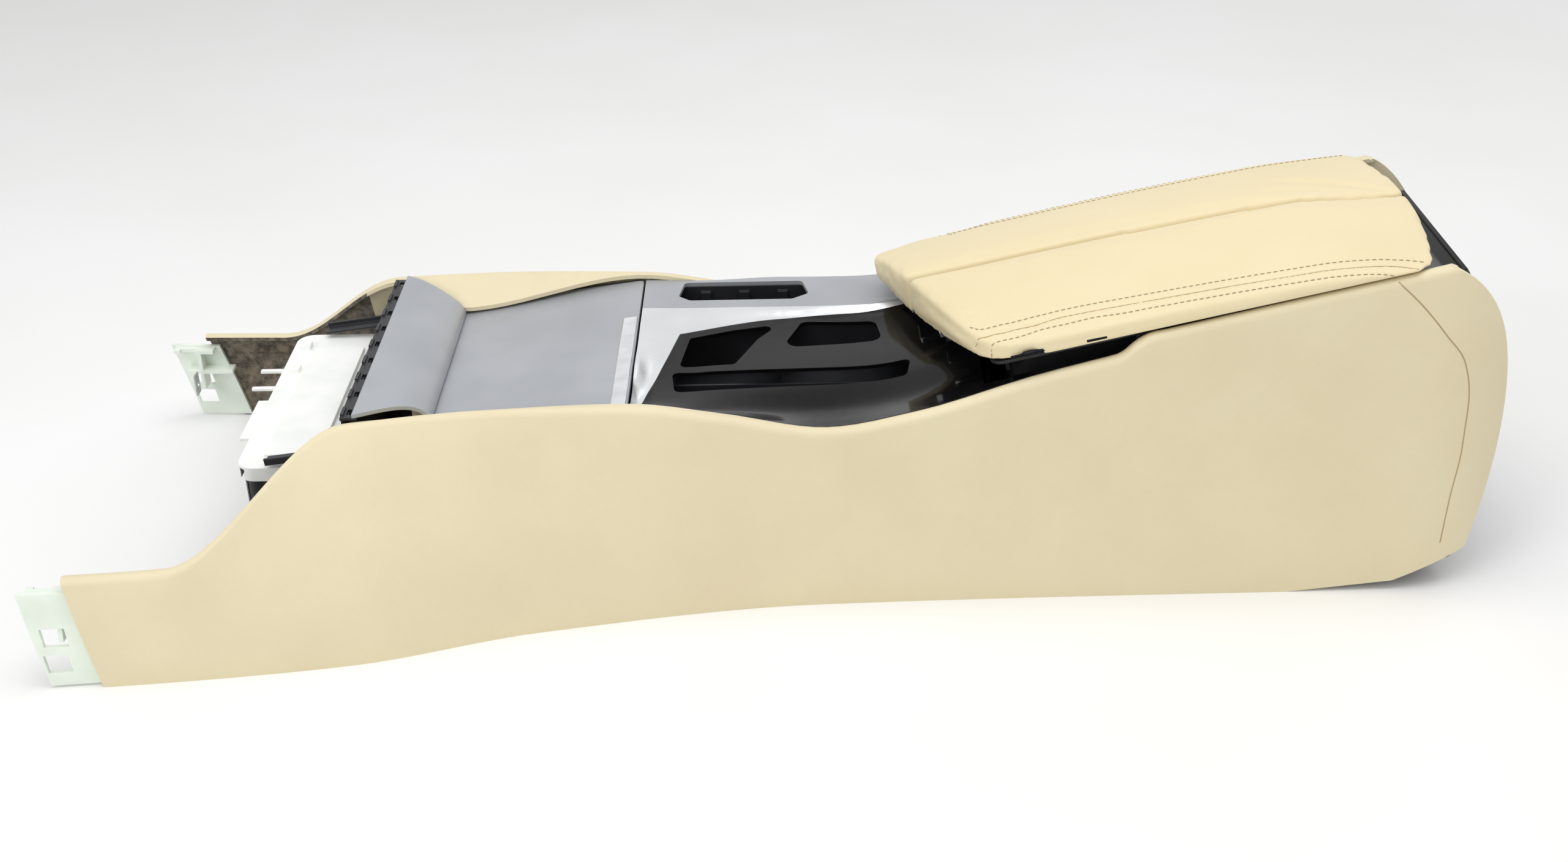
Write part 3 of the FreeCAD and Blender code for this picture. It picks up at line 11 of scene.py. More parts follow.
import bmesh
import bpy
from mathutils import Matrix, Vector
from mathutils.bvhtree import BVHTree
from mathutils.kdtree import KDTree

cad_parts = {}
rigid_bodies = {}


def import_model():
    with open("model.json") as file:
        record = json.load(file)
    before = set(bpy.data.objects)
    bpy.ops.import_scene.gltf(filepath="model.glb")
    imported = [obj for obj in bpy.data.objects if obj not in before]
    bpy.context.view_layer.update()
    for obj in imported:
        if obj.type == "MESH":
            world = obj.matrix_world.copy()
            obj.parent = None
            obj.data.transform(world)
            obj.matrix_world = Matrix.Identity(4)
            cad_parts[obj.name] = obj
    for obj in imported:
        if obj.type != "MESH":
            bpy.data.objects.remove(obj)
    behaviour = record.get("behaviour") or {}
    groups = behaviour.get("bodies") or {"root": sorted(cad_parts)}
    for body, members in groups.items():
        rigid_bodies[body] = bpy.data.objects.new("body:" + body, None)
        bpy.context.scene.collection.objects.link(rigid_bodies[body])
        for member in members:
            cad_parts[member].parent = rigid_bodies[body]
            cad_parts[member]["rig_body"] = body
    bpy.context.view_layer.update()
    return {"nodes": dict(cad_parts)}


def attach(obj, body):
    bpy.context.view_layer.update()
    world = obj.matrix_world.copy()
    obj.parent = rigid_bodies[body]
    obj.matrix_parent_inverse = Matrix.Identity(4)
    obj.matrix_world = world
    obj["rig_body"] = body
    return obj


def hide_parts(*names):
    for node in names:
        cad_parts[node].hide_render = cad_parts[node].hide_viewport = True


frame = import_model()
MM = 0.001

# %% [markdown]
# ## Camera
# The photograph was taken from the left side of the console, from above, with a slightly tilted camera.
# A camera can be placed by eye, but straight edges of known length give it exactly: the place,
# the tilt and the focal length here come from such edges. The lens is the focal length in pixels,
# carried over to Blender's 36 mm sensor.

# %% Camera at the photograph's angle
photo_width = 2560
focal_pixels = 3100
camera_place = Vector((7.6, -1283.0, 778.0)) * MM
camera_fall = math.radians(28.5)
camera_roll = math.radians(-1.1)

camera_back = Vector((0, -math.cos(camera_fall), math.sin(camera_fall)))
level_right = Vector((1, 0, 0))
level_up = camera_back.cross(level_right)
camera_right = level_right * math.cos(camera_roll) + level_up * math.sin(camera_roll)
camera_up = level_up * math.cos(camera_roll) - level_right * math.sin(camera_roll)
camera = bpy.data.objects.new("camera", bpy.data.cameras.new("camera"))
camera.data.sensor_width = 36
camera.data.lens = focal_pixels / photo_width * camera.data.sensor_width
camera_turn = Matrix((camera_right, camera_up, camera_back)).transposed()
camera.matrix_world = Matrix.Translation(camera_place) @ camera_turn.to_4x4()
bpy.context.scene.collection.objects.link(camera)
bpy.context.scene.camera = camera
print("lens in mm:", round(camera.data.lens, 1))

# %% [markdown]
# ## Helpers for finishes
# Every finish is a small tree of nodes. One function adds a node with its settings and its links,
# so a tree reads from top to bottom like a recipe. Colours are written the way a paint card gives them,
# as sRGB hex values, and are made linear once, because a shader counts light linearly.

# %% Nodes, colours and a new finish
def colour(code):
    """An sRGB hex value as linear red, green, blue and alpha."""
    shares = [int(code[k:k + 2], 16) / 255 for k in (0, 2, 4)]
    linear = [c / 12.92 if c <= 0.04045 else ((c + 0.055) / 1.055) ** 2.4 for c in shares]
    return (*linear, 1.0)


def add_node(tree, kind, inputs=None, **settings):
    """Adds a node, makes its settings, and fills each input with a value or a link."""
    made = tree.nodes.new(kind)
    for name, value in settings.items():
        setattr(made, name, value)
    for socket, value in (inputs or {}).items():
        if isinstance(value, bpy.types.NodeSocket):
            tree.links.new(value, made.inputs[socket])
        else:
            made.inputs[socket].default_value = value
    return made


def new_finish(name, sockets):
    """A material whose shader has its fixed values set on its own sockets."""
    finish = bpy.data.materials.new(name)
    finish.use_nodes = True
    shader = finish.node_tree.nodes["Principled BSDF"]
    for socket, value in sockets.items():
        shader.inputs[socket].default_value = value
    place = add_node(finish.node_tree, "ShaderNodeTexCoord").outputs["Object"]
    return finish, finish.node_tree, shader, place


def two_tone(tree, factor, dark, light, low=0.35, high=0.65):
    """A soft change between two colours."""
    ramp = add_node(tree, "ShaderNodeValToRGB", {"Fac": factor})
    for stop, spot, code in zip(ramp.color_ramp.elements, (low, high), (dark, light)):
        stop.position = spot
        stop.color = colour(code)
    return ramp.outputs["Color"]


def per_metre(size_mm):
    """Texture scale for a pattern whose cells are this wide."""
    return 1 / (size_mm * MM)


# %% [markdown]
# ## Cream leather
# The side panels and the armrest are wrapped in coated leather. What the eye gets from it is a soft,
# dull shine, a pebbled grain and a very slight mottling of the cream. The real grain is about 1 mm wide,
# which falls between the pixels here, so the pebbles are drawn at 2.2 mm, as coarse as needed to show.
# A cell texture gives the valleys between the pebbles, and a soft noise keeps them from looking
# like a honeycomb.

# %% Leather finish
def coated_leather(name, dark, light):
    finish, tree, shader, place = new_finish(name, {"IOR": 1.46, "Sheen Weight": 0.06,
                                                    "Sheen Roughness": 0.4})
    mottle = add_node(tree, "ShaderNodeTexNoise", {"Vector": place, "Scale": per_metre(70), "Detail": 4.0})
    tone = two_tone(tree, mottle.outputs["Fac"], dark, light)
    tree.links.new(tone, shader.inputs["Base Color"])
    warp = add_node(tree, "ShaderNodeTexNoise", {"Vector": place, "Scale": per_metre(5), "Detail": 2.0})
    drift = add_node(tree, "ShaderNodeVectorMath", {0: warp.outputs["Color"], 1: (0.0016, 0.0016, 0.0016)},
                     operation="MULTIPLY")
    bent = add_node(tree, "ShaderNodeVectorMath", {0: place, 1: drift.outputs["Vector"]}, operation="ADD")
    pebbles = add_node(tree, "ShaderNodeTexVoronoi", {"Vector": bent.outputs["Vector"],
                                                      "Scale": per_metre(2.2)}, feature="DISTANCE_TO_EDGE")
    valley = add_node(tree, "ShaderNodeMapRange", {"Value": pebbles.outputs["Distance"], "From Max": 0.16})
    bump = add_node(tree, "ShaderNodeBump", {"Height": valley.outputs["Result"], "Strength": 0.22,
                                             "Distance": 0.12 * MM})
    tree.links.new(bump.outputs["Normal"], shader.inputs["Normal"])
    shine = add_node(tree, "ShaderNodeMapRange", {"Value": valley.outputs["Result"], "To Min": 0.62,
                                                  "To Max": 0.48})
    tree.links.new(shine.outputs["Result"], shader.inputs["Roughness"])
    return finish


panel_leather = coated_leather("cream_coated_leather", "e1d4b2", "e4d8b6")
armrest_leather = coated_leather("cream_armrest_leather", "e5d6ae", "e8d9b2")
print("leathers:", panel_leather.name, armrest_leather.name)

# %% [markdown]
# ## Thread
# The seams are sewn with a bonded polyester thread, a little darker than the leather.
# Two twisted plies give it a fine diagonal stripe, which a wave texture draws.

# %% Thread finish
def bonded_thread(name, dark, light):
    finish, tree, shader, place = new_finish(name, {"Roughness": 0.6})
    plies = add_node(tree, "ShaderNodeTexWave", {"Vector": place, "Scale": per_metre(0.8),
                                                 "Distortion": 0.4}, bands_direction="DIAGONAL")
    tone = two_tone(tree, plies.outputs["Fac"], dark, light)
    tree.links.new(tone, shader.inputs["Base Color"])
    return finish


thread = bonded_thread("bonded_thread", "8d7e62", "ab9a7a")
# The fold line gets the same striped finish in a darker leather tone, which is painted shade in the fold.
seam_shade = bonded_thread("seam_painted_shade", "a48d67", "b89f77")
print("threads:", thread.name, seam_shade.name)

# %% [markdown]
# ## Felt
# A needled felt of grey and brown recycled fibres lies inside the nose of each side panel.
# It swallows light, so its roughness is full, and two noises of different size give it clumps
# and single fibres.

# %% Felt finish
def needled_felt():
    finish, tree, shader, place = new_finish("needled_felt", {"Roughness": 1.0, "Sheen Weight": 0.3})
    clumps = add_node(tree, "ShaderNodeTexNoise", {"Vector": place, "Scale": per_metre(9), "Detail": 6.0,
                                                   "Roughness": 0.75})
    tone = two_tone(tree, clumps.outputs["Fac"], "3a342c", "8b7f6c", 0.38, 0.66)
    tree.links.new(tone, shader.inputs["Base Color"])
    fibres = add_node(tree, "ShaderNodeTexNoise", {"Vector": place, "Scale": per_metre(1.2), "Detail": 4.0})
    bump = add_node(tree, "ShaderNodeBump", {"Height": fibres.outputs["Fac"], "Strength": 0.9,
                                             "Distance": 0.6 * MM})
    tree.links.new(bump.outputs["Normal"], shader.inputs["Normal"])
    return finish


felt = needled_felt()
print("felt:", felt.name)

# %% [markdown]
# ## Moulded plastics
# The carrier and the clips are black polypropylene with a spark-eroded grain, the front brackets are
# the same plastic without colour, milky and a little see-through, and the cap of the air box is white ABS.
# They differ in colour and in how deep light goes in, so one function with a few inputs makes all three.

# %% Moulded plastic finishes
def moulded_plastic(name, dark, light, roughness, depth=0.0):
    finish, tree, shader, place = new_finish(name, {"IOR": 1.49})
    if depth:
        shader.inputs["Subsurface Weight"].default_value = depth
        shader.inputs["Subsurface Radius"].default_value = (1.0, 1.0, 0.8)
        shader.inputs["Subsurface Scale"].default_value = 2 * MM
    cloud = add_node(tree, "ShaderNodeTexNoise", {"Vector": place, "Scale": per_metre(40), "Detail": 3.0})
    tone = two_tone(tree, cloud.outputs["Fac"], dark, light)
    tree.links.new(tone, shader.inputs["Base Color"])
    sparks = add_node(tree, "ShaderNodeTexNoise", {"Vector": place, "Scale": per_metre(0.9), "Detail": 2.0})
    bump = add_node(tree, "ShaderNodeBump", {"Height": sparks.outputs["Fac"], "Strength": 0.12,
                                             "Distance": 0.1 * MM})
    tree.links.new(bump.outputs["Normal"], shader.inputs["Normal"])
    shine = add_node(tree, "ShaderNodeMapRange", {"Value": sparks.outputs["Fac"],
                                                  "To Min": roughness - 0.06, "To Max": roughness + 0.06})
    tree.links.new(shine.outputs["Result"], shader.inputs["Roughness"])
    return finish


black_plastic = moulded_plastic("grained_black_polypropylene", "17181b", "232428", 0.48)
milky_plastic = moulded_plastic("natural_polypropylene", "dfe8dc", "edf4ea", 0.4, 0.35)
white_plastic = moulded_plastic("white_abs", "f0f2ee", "fafbf8", 0.42, 0.1)
print("plastics:", black_plastic.name, milky_plastic.name, white_plastic.name)

# %% [markdown]
# ## Rubber
# The bin mat is soft black rubber: dull, with faint random patches of dust.

# %% Rubber finish
def soft_rubber():
    finish, tree, shader, place = new_finish("soft_black_rubber", {"Roughness": 0.75, "IOR": 1.5})
    dust = add_node(tree, "ShaderNodeTexNoise", {"Vector": place, "Scale": per_metre(25), "Detail": 6.0})
    tone = two_tone(tree, dust.outputs["Fac"], "141415", "2a2a2b")
    tree.links.new(tone, shader.inputs["Base Color"])
    return finish


rubber = soft_rubber()
print("rubber:", rubber.name)

# %% [markdown]
# ## Satin paints
# The sliding lid and the bar are plastic with a satin grey metallic paint, the surround has a brighter
# silver one. Flakes in the paint make it shine like a dull metal. They are far finer than a pixel, so they
# are drawn at 0.7 mm and only tip the shine a little. A wide noise stands for the slight cloudiness
# of a sprayed coat.

# %% Satin paint finishes
def satin_paint(name, dark, light, metallic, roughness):
    finish, tree, shader, place = new_finish(name, {"Metallic": metallic})
    cloud = add_node(tree, "ShaderNodeTexNoise", {"Vector": place, "Scale": per_metre(60), "Detail": 2.0})
    tone = two_tone(tree, cloud.outputs["Fac"], dark, light)
    tree.links.new(tone, shader.inputs["Base Color"])
    flakes = add_node(tree, "ShaderNodeTexVoronoi", {"Vector": place, "Scale": per_metre(0.7)})
    shine = add_node(tree, "ShaderNodeMapRange", {"Value": flakes.outputs["Distance"],
                                                  "To Min": roughness - 0.05, "To Max": roughness + 0.05})
    tree.links.new(shine.outputs["Result"], shader.inputs["Roughness"])
    return finish


grey_paint = satin_paint("satin_grey_paint", "a3a6ab", "abaeb3", 0.35, 0.42)
silver_paint = satin_paint("satin_silver_paint", "d2d4d6", "dcdee0", 0.6, 0.3)
print("paints:", grey_paint.name, silver_paint.name)

# %% [markdown]
# ## Piano black
# The gear panel is black acrylic, polished until it mirrors the room. Its mirror is weak seen from above
# and strong at a glance, which the shader works out from the refractive index. A real acrylic has 1.49;
# a lower value here stands for the darker room that such a panel mirrors in a car.
# Faint smears roughen it a little.

# %% Piano black finish
def piano_black():
    finish, tree, shader, place = new_finish("piano_black_acrylic", {"IOR": 1.3})
    smear = add_node(tree, "ShaderNodeTexNoise", {"Vector": place, "Scale": per_metre(30), "Detail": 5.0,
                                                  "Roughness": 0.7})
    tone = two_tone(tree, smear.outputs["Fac"], "0a0a0b", "131314")
    tree.links.new(tone, shader.inputs["Base Color"])
    shine = add_node(tree, "ShaderNodeMapRange", {"Value": smear.outputs["Fac"], "To Min": 0.04,
                                                  "To Max": 0.12})
    tree.links.new(shine.outputs["Result"], shader.inputs["Roughness"])
    return finish


gloss_black = piano_black()
print("gloss:", gloss_black.name)

# %% [markdown]
# ## Metals
# The hinge arms are this dark so that where they show at the pad's lower edge they are painted shade in the
# gap.
# The bright trim is chromed plastic, the clip nuts are zinc plated and the hinge arms are blackened steel.
# A metal has no colour of its own beyond its tint, so the difference lies in the tint
# and in how rough it is.

# %% Metal finishes
def plain_metal(name, dark, light, rough_low, rough_high, grain_mm):
    finish, tree, shader, place = new_finish(name, {"Metallic": 1.0})
    grain = add_node(tree, "ShaderNodeTexNoise", {"Vector": place, "Scale": per_metre(grain_mm),
                                                  "Detail": 4.0})
    tone = two_tone(tree, grain.outputs["Fac"], dark, light)
    tree.links.new(tone, shader.inputs["Base Color"])
    shine = add_node(tree, "ShaderNodeMapRange", {"Value": grain.outputs["Fac"], "To Min": rough_low,
                                                  "To Max": rough_high})
    tree.links.new(shine.outputs["Result"], shader.inputs["Roughness"])
    return finish


chrome = plain_metal("chromed_plastic", "d3d5d8", "e3e5e8", 0.06, 0.16, 20)
steel = plain_metal("zinc_plated_steel", "a9abad", "bcbec0", 0.28, 0.42, 3)
# Dark steel for the hinge arms: painted shade where they show at the pad's edge.
dark_steel_painted_shade = plain_metal("black_oxide_steel_painted_shade", "1c1c1e", "26262a", 0.35, 0.5, 3)
print("metals:", chrome.name, steel.name, dark_steel_painted_shade.name)

# %% [markdown]
# ## Dressing the CAD pieces
# A CAD piece arrives as loose triangles, which shade like a cut gem. A copy of it is merged at its seams,
# its curved faces are shaded smooth, and only real corners stay sharp. Many mouldings also get a small
# bevel, because no moulded edge is perfectly sharp and the bevel is what catches the light.
# The copy then stands for the CAD piece, on the same body.

# %% Dress one piece
SHARP_CORNER = math.radians(32)


def new_piece(name, mesh, finish, body):
    """Puts a mesh in the scene as a piece that rides on a body."""
    mesh.materials.clear()
    mesh.materials.append(finish)
    piece = bpy.data.objects.new(name, mesh)
    bpy.context.scene.collection.objects.link(piece)
    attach(piece, body)
    return piece


def merged_copy(node, flat=False):
    """A copy of a CAD piece's mesh with its loose triangles joined up."""
    form = bmesh.new()
    form.from_mesh(frame["nodes"][node].data)
    bmesh.ops.remove_doubles(form, verts=form.verts, dist=0.01 * MM)
    if flat:
        bmesh.ops.dissolve_limit(form, angle_limit=math.radians(0.6), verts=form.verts, edges=form.edges)
    mesh = bpy.data.meshes.new(node + "_form")
    form.to_mesh(mesh)
    form.free()
    if "custom_normal" in mesh.attributes:
        mesh.attributes.remove(mesh.attributes["custom_normal"])
    mesh.shade_smooth()
    mesh.set_sharp_from_angle(angle=SHARP_CORNER)
    return mesh


def dress(node, finish, edge_mm=0.0):
    """Stands a smooth copy in for a CAD piece, with bevelled corners where a width is given."""
    body = frame["nodes"][node]["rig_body"]
    piece = new_piece(node + "_skin", merged_copy(node, edge_mm > 0), finish, body)
    if edge_mm:
        bevel = piece.modifiers.new("moulded_edge", "BEVEL")
        bevel.width = edge_mm * MM
        bevel.segments = 2
        bevel.limit_method = "ANGLE"
        bevel.angle_limit = math.radians(40)
        bevel.harden_normals = True
    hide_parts(node)
    return piece


# %% [markdown]
# ## Two finishes on one piece
# Some mouldings carry two finishes: the surround is bright silver beside the gear panel and satin grey
# on the deck, the vent frame is bright in front and black at its sides, and a side panel is leather outside
# and felt inside its nose. A clean border needs an edge along it, so where there is none the mesh is first
# cut along a plane, and then the faces on one side get the second finish.

# %% Second finish on part of a piece
def second_finish(piece, finish, wanted, plane=None):
    """Gives the faces that pass a test a second finish, after a cut along a plane if one is given."""
    if plane:
        form = bmesh.new()
        form.from_mesh(piece.data)
        bmesh.ops.bisect_plane(form, geom=form.verts[:] + form.edges[:] + form.faces[:], plane_co=plane[0],
                               plane_no=plane[1])
        form.to_mesh(piece.data)
        form.free()
        piece.data.set_sharp_from_angle(angle=SHARP_CORNER)
    piece.data.materials.append(finish)
    chosen = [face for face in piece.data.polygons if wanted(face.center, face.normal)]
    for face in chosen:
        face.material_index = 1
    return len(chosen)


# %% [markdown]
# ## Which piece has which finish
# The pieces are listed by finish, the way a parts list groups them. The third entry is the width of the
# bevel in millimetres, or nothing where the CAD piece has round edges already.

# %% Dress all rigid pieces
PARTS = [
    (panel_leather, "panel_leather", 0, ["side_panel_left", "side_panel_right"]),
    (felt, "felt", 0, ["felt_pad_left", "felt_pad_right"]),
    (milky_plastic, "bracket_plastic", 0, ["front_bracket_left", "front_bracket_right"]),
    (white_plastic, "cap_plastic", 0.6, ["air_box_cap"]),
    (grey_paint, "satin_grey", 0, ["front_trim_bar"]),
    (grey_paint, "satin_grey", 0.4, ["sliding_lid"]),
    (silver_paint, "satin_silver", 0, ["silver_trim"]),
    (gloss_black, "piano_black", 0.6, ["gear_panel"]),
    (chrome, "bright_trim", 0, ["lid_grip", "vent_chrome_frame", "release_button_left",
                                "release_button_right"]),
    (steel, "hinge_steel", 0, ["bracket_clip_nuts"]),
    # The hinge pins are dark as painted shade in the gap below the pads.
    (dark_steel_painted_shade, "hinge_steel", 0, ["hinge_pins"]),
    (gloss_black, "piano_black", 0.4, ["vent_housing"]),
    (rubber, "soft_black", 0.3, ["bin_mat"]),
    (black_plastic, "carrier_plastic", 0.4, ["bar_clip_rail", "lid_guide_rails", "switch_housing",
                                             "selector_well", "carrier_frame", "air_box", "air_duct",
                                             "storage_bin", "panel_stays_left", "panel_stays_right",
                                             "vent_grille_left", "vent_grille_right"]),
    (black_plastic, "carrier_plastic", 0, ["cup_tray", "armrest_frame", "rear_cover", "armrest_liner_left",
                                           "armrest_liner_right", "latch_tongue_left",
                                           "latch_tongue_right"]),
]
dressed = {}
for finish, slot, edge_mm, nodes in PARTS:
    for node in nodes:
        dressed[node] = dress(node, finish, edge_mm)
print("dressed:", len(dressed))

# %% Grey deck on the silver surround, black sides of the vent frame, felt inside the noses
RIDGE = 57 * MM
NOSE_END = -330 * MM
VENT_TILT = math.radians(24)
deck_faces = second_finish(dressed["silver_trim"], grey_paint, lambda spot, way: spot.y > RIDGE,
                           (Vector((0, RIDGE, 0)), Vector((0, 1, 0))))
print("deck faces:", deck_faces)
vent_way = Vector((math.cos(VENT_TILT), 0, math.sin(VENT_TILT)))
rim_sides = second_finish(dressed["vent_chrome_frame"], gloss_black,
                          lambda spot, way: way.dot(vent_way) < 0.6)
print("black rim faces:", rim_sides)
for word, side in (("left", -1), ("right", 1)):
    panel = dressed[f"side_panel_{word}"]
    lined = second_finish(panel, felt, lambda spot, way: spot.x < NOSE_END and way.y * side < -0.5,
                          (Vector((NOSE_END, 0, 0)), Vector((1, 0, 0))))
    print(panel.name, "felt faces:", lined)

# %% [markdown]
# ## Armrest pads
# Each armrest half is leather drawn over foam. The CAD solid has the right size but a hard look.
# The cover hides the hinge pockets of the solid, so these are taken out and their holes are closed.
# The pad is then remeshed into even quads, smoothed until its edges are round, and inflated as cloth
# with a pinned underside, so that the leather swells between its edges the way stuffed covers do.
# Sculpting by hand would also work, but the simulation gives the same soft fall-off everywhere
# and can be run again.

# %% Local frame of the armrest
arm_origin = Vector((150.0, 0.0, 188.5)) * MM
arm_slope = math.radians(12.7)
arm_turn = Matrix.Translation(arm_origin) @ Matrix.Rotation(-arm_slope, 4, "Y")
arm_back = arm_turn.inverted()
print("armrest slope in degrees:", round(math.degrees(arm_slope), 2))


# %% Remesh and inflate a pad
VOXEL = 3.0 * MM
SHRINK = 0.5 * MM
SWELL_LIMIT = 1.2 * MM
HINGE_SPOTS = (32, 76)
PRESSURE = 4.0
STEPS = 20


def evaluated_mesh(piece):
    """The piece's mesh with its modifiers worked in."""
    ready = piece.evaluated_get(bpy.context.evaluated_depsgraph_get())
    return bpy.data.meshes.new_from_object(ready)


def in_pocket(spot):
    """Whether a point of the flat pad lies on the walls of a hinge pocket or of its pin bores."""
    near = min(abs(spot.x / MM - place) for place in HINGE_SPOTS)
    return near < 17 and 95 * MM < abs(spot.y) < 111.4 * MM and spot.z < 5.5 * MM


def without_pockets(mesh):
    """Takes the pocket walls out of a flat pad and closes the holes they leave."""
    form = bmesh.new()
    form.from_mesh(mesh)
    walls = [face for face in form.faces if all(in_pocket(corner.co) for corner in face.verts)]
    bmesh.ops.delete(form, geom=walls, context="FACES")
    rims = [edge for edge in form.edges if edge.is_boundary]
    bmesh.ops.holes_fill(form, edges=rims, sides=0)
    bmesh.ops.triangulate(form, faces=[face for face in form.faces if len(face.verts) > 4])
    form.to_mesh(mesh)
    form.free()
    return len(walls)


def remeshed_pad(node):
    """An even quad mesh of the pad, laid flat, with round edges and a little smaller than the CAD solid."""
    pad = bpy.data.objects.new(node + "_work", merged_copy(node))
    pad.data.transform(arm_back)
    print(node, "pocket faces taken out:", without_pockets(pad.data))
    bpy.context.scene.collection.objects.link(pad)
    remesh = pad.modifiers.new("even_quads", "REMESH")
    remesh.mode = "VOXEL"
    remesh.voxel_size = VOXEL
    rounding = pad.modifiers.new("round_edges", "SMOOTH")
    rounding.factor = 0.5
    rounding.iterations = 10
    pad.data = evaluated_mesh(pad)
    pad.modifiers.clear()
    pad.data.update()
    inward = [corner.normal * SHRINK for corner in pad.data.vertices]
    for corner, way in zip(pad.data.vertices, inward):
        corner.co -= way if corner.co.z > 1.5 * MM else Vector((way.x, way.y, 0))
    return pad


def swollen(pad):
    """Inflates the pad as cloth and returns its mesh, no point further out than the limit."""
    start = [corner.co.copy() for corner in pad.data.vertices]
    pinned = pad.vertex_groups.new(name="underside")
    pinned.add([k for k, spot in enumerate(start) if spot.z < 2.0 * MM], 1.0, "REPLACE")
    cloth = pad.modifiers.new("leather", "CLOTH")
    cloth.settings.vertex_group_mass = "underside"
    cloth.settings.quality = 5
    cloth.settings.mass = 0.3
    cloth.settings.use_pressure = True
    cloth.settings.uniform_pressure_force = PRESSURE
    cloth.settings.effector_weights.gravity = 0
    cloth.point_cache.frame_start = 1
    cloth.point_cache.frame_end = STEPS
    for step in range(1, STEPS + 1):
        bpy.context.scene.frame_set(step)
    mesh = evaluated_mesh(pad)
    pad.modifiers.clear()
    for corner, spot in zip(mesh.vertices, start):
        way = corner.co - spot
        if way.length > SWELL_LIMIT:
            corner.co = spot + way.normalized() * SWELL_LIMIT
    return mesh


# %% [markdown]
# ## Seam of the armrest
# A seam runs along the outer edge of each half, round the front corner and round the rear one.
# The leather is drawn in along it, and a row of stitches holds the fold down on each side. Only its plan
# is written down, as a few points along the pad; its height comes from the pad itself,
# by looking straight down on it.

# %% Plan of the seam
SEAM_PLAN = [(-10, 87), (-3, 92.5), (10, 94.5), (60, 94), (110, 96), (210, 99.5), (265, 102), (284, 105),
             (298, 109)]
ROW_OFFSET = 6.4


def smooth_line(points, spacing):
    """Even points along a smooth curve through the given ones."""
    line = bpy.data.curves.new("line", "CURVE")
    line.dimensions = "3D"
    run = line.splines.new("BEZIER")
    run.bezier_points.add(len(points) - 1)
    for knot, spot in zip(run.bezier_points, points):
        knot.co = spot
        knot.handle_left_type = "AUTO"
        knot.handle_right_type = "AUTO"
    run.resolution_u = 48
    holder = bpy.data.objects.new("line", line)
    bpy.context.scene.collection.objects.link(holder)
    dense = [corner.co.copy() for corner in evaluated_mesh(holder).vertices]
    bpy.data.objects.remove(holder)
    spots = [dense[0]]
    walked = 0.0
    for a, b in zip(dense, dense[1:]):
        walked += (b - a).length
        if walked >= spacing:
            spots.append(b)
            walked = 0.0
    return spots


def beside(points, shift):
    """The same plan line, moved sideways."""
    moved = []
    for k, spot in enumerate(points):
        along = points[min(k + 1, len(points) - 1)] - points[max(k - 1, 0)]
        moved.append(spot + Vector((-along.y, along.x, 0)).normalized() * shift)
    return moved


def on_pad(mesh, plan):
    """Points of the pad's surface under a plan line, with the surface's direction at each."""
    tree = BVHTree.FromPolygons([arm_back @ corner.co for corner in mesh.vertices],
                                [face.vertices[:] for face in mesh.polygons])
    found = []
    for spot in plan:
        hit, normal = tree.ray_cast(Vector((spot.x, spot.y, 0.1)), Vector((0, 0, -1)))[:2]
        if hit is not None:
            found.append((arm_turn @ hit, (arm_turn.to_3x3() @ normal).normalized()))
    return found


def draw_in(mesh, line, depth, width):
    """Pulls the leather in along a line."""
    near = KDTree(len(line))
    for k, (spot, normal) in enumerate(line):
        near.insert(spot, k)
    near.balance()
    for corner in mesh.vertices:
        gap = near.find(corner.co)[2]
        if gap < 3 * width:
            corner.co -= corner.normal * depth * math.exp(-(gap / width) ** 2)


# %% [markdown]
# ## Stitches
# A stitch is a short piece of thread that dips into the leather at both ends. Dozens of them follow each
# row, which is a job for Geometry Nodes: the row becomes a curve, points are set out along it at the stitch
# pitch, and one small rounded form is placed on each, turned along the row and away from the leather.

# %% Stitch tree
def stitch_tree(finish):
    tree = bpy.data.node_groups.new("stitch_row", "GeometryNodeTree")
    tree.interface.new_socket("Row", in_out="INPUT", socket_type="NodeSocketGeometry")
    for name, value in (("Pitch", 4.4 * MM), ("Length", 3.3 * MM), ("Width", 0.75 * MM)):
        socket = tree.interface.new_socket(name, in_out="INPUT", socket_type="NodeSocketFloat")
        socket.default_value = value
    tree.interface.new_socket("Stitches", in_out="OUTPUT", socket_type="NodeSocketGeometry")
    given = add_node(tree, "NodeGroupInput").outputs
    row = add_node(tree, "GeometryNodeMeshToCurve", {"Mesh": given["Row"]})
    spots = add_node(tree, "GeometryNodeCurveToPoints", {"Curve": row.outputs["Curve"],
                                                         "Length": given["Pitch"]}, mode="LENGTH")
    lift = add_node(tree, "GeometryNodeInputNamedAttribute", {"Name": "lift"}, data_type="FLOAT_VECTOR")
    along = add_node(tree, "FunctionNodeAlignRotationToVector", {"Vector": spots.outputs["Tangent"]},
                     axis="X")
    turned = add_node(tree, "FunctionNodeAlignRotationToVector", {"Rotation": along.outputs["Rotation"],
                                                                  "Vector": lift.outputs["Attribute"]},
                      axis="Z", pivot_axis="X")
    ball = add_node(tree, "GeometryNodeMeshUVSphere", {"Segments": 8, "Rings": 6, "Radius": 0.5})
    size = add_node(tree, "ShaderNodeCombineXYZ", {"X": given["Length"], "Y": given["Width"],
                                                   "Z": given["Width"]})
    placed = add_node(tree, "GeometryNodeInstanceOnPoints", {"Points": spots.outputs["Points"],
                                                             "Instance": ball.outputs["Mesh"],
                                                             "Rotation": turned.outputs["Rotation"],
                                                             "Scale": size.outputs["Vector"]})
    real = add_node(tree, "GeometryNodeRealizeInstances", {"Geometry": placed.outputs["Instances"]})
    painted = add_node(tree, "GeometryNodeSetMaterial", {"Geometry": real.outputs["Geometry"],
                                                         "Material": finish})
    add_node(tree, "NodeGroupOutput", {"Stitches": painted.outputs["Geometry"]})
    return tree


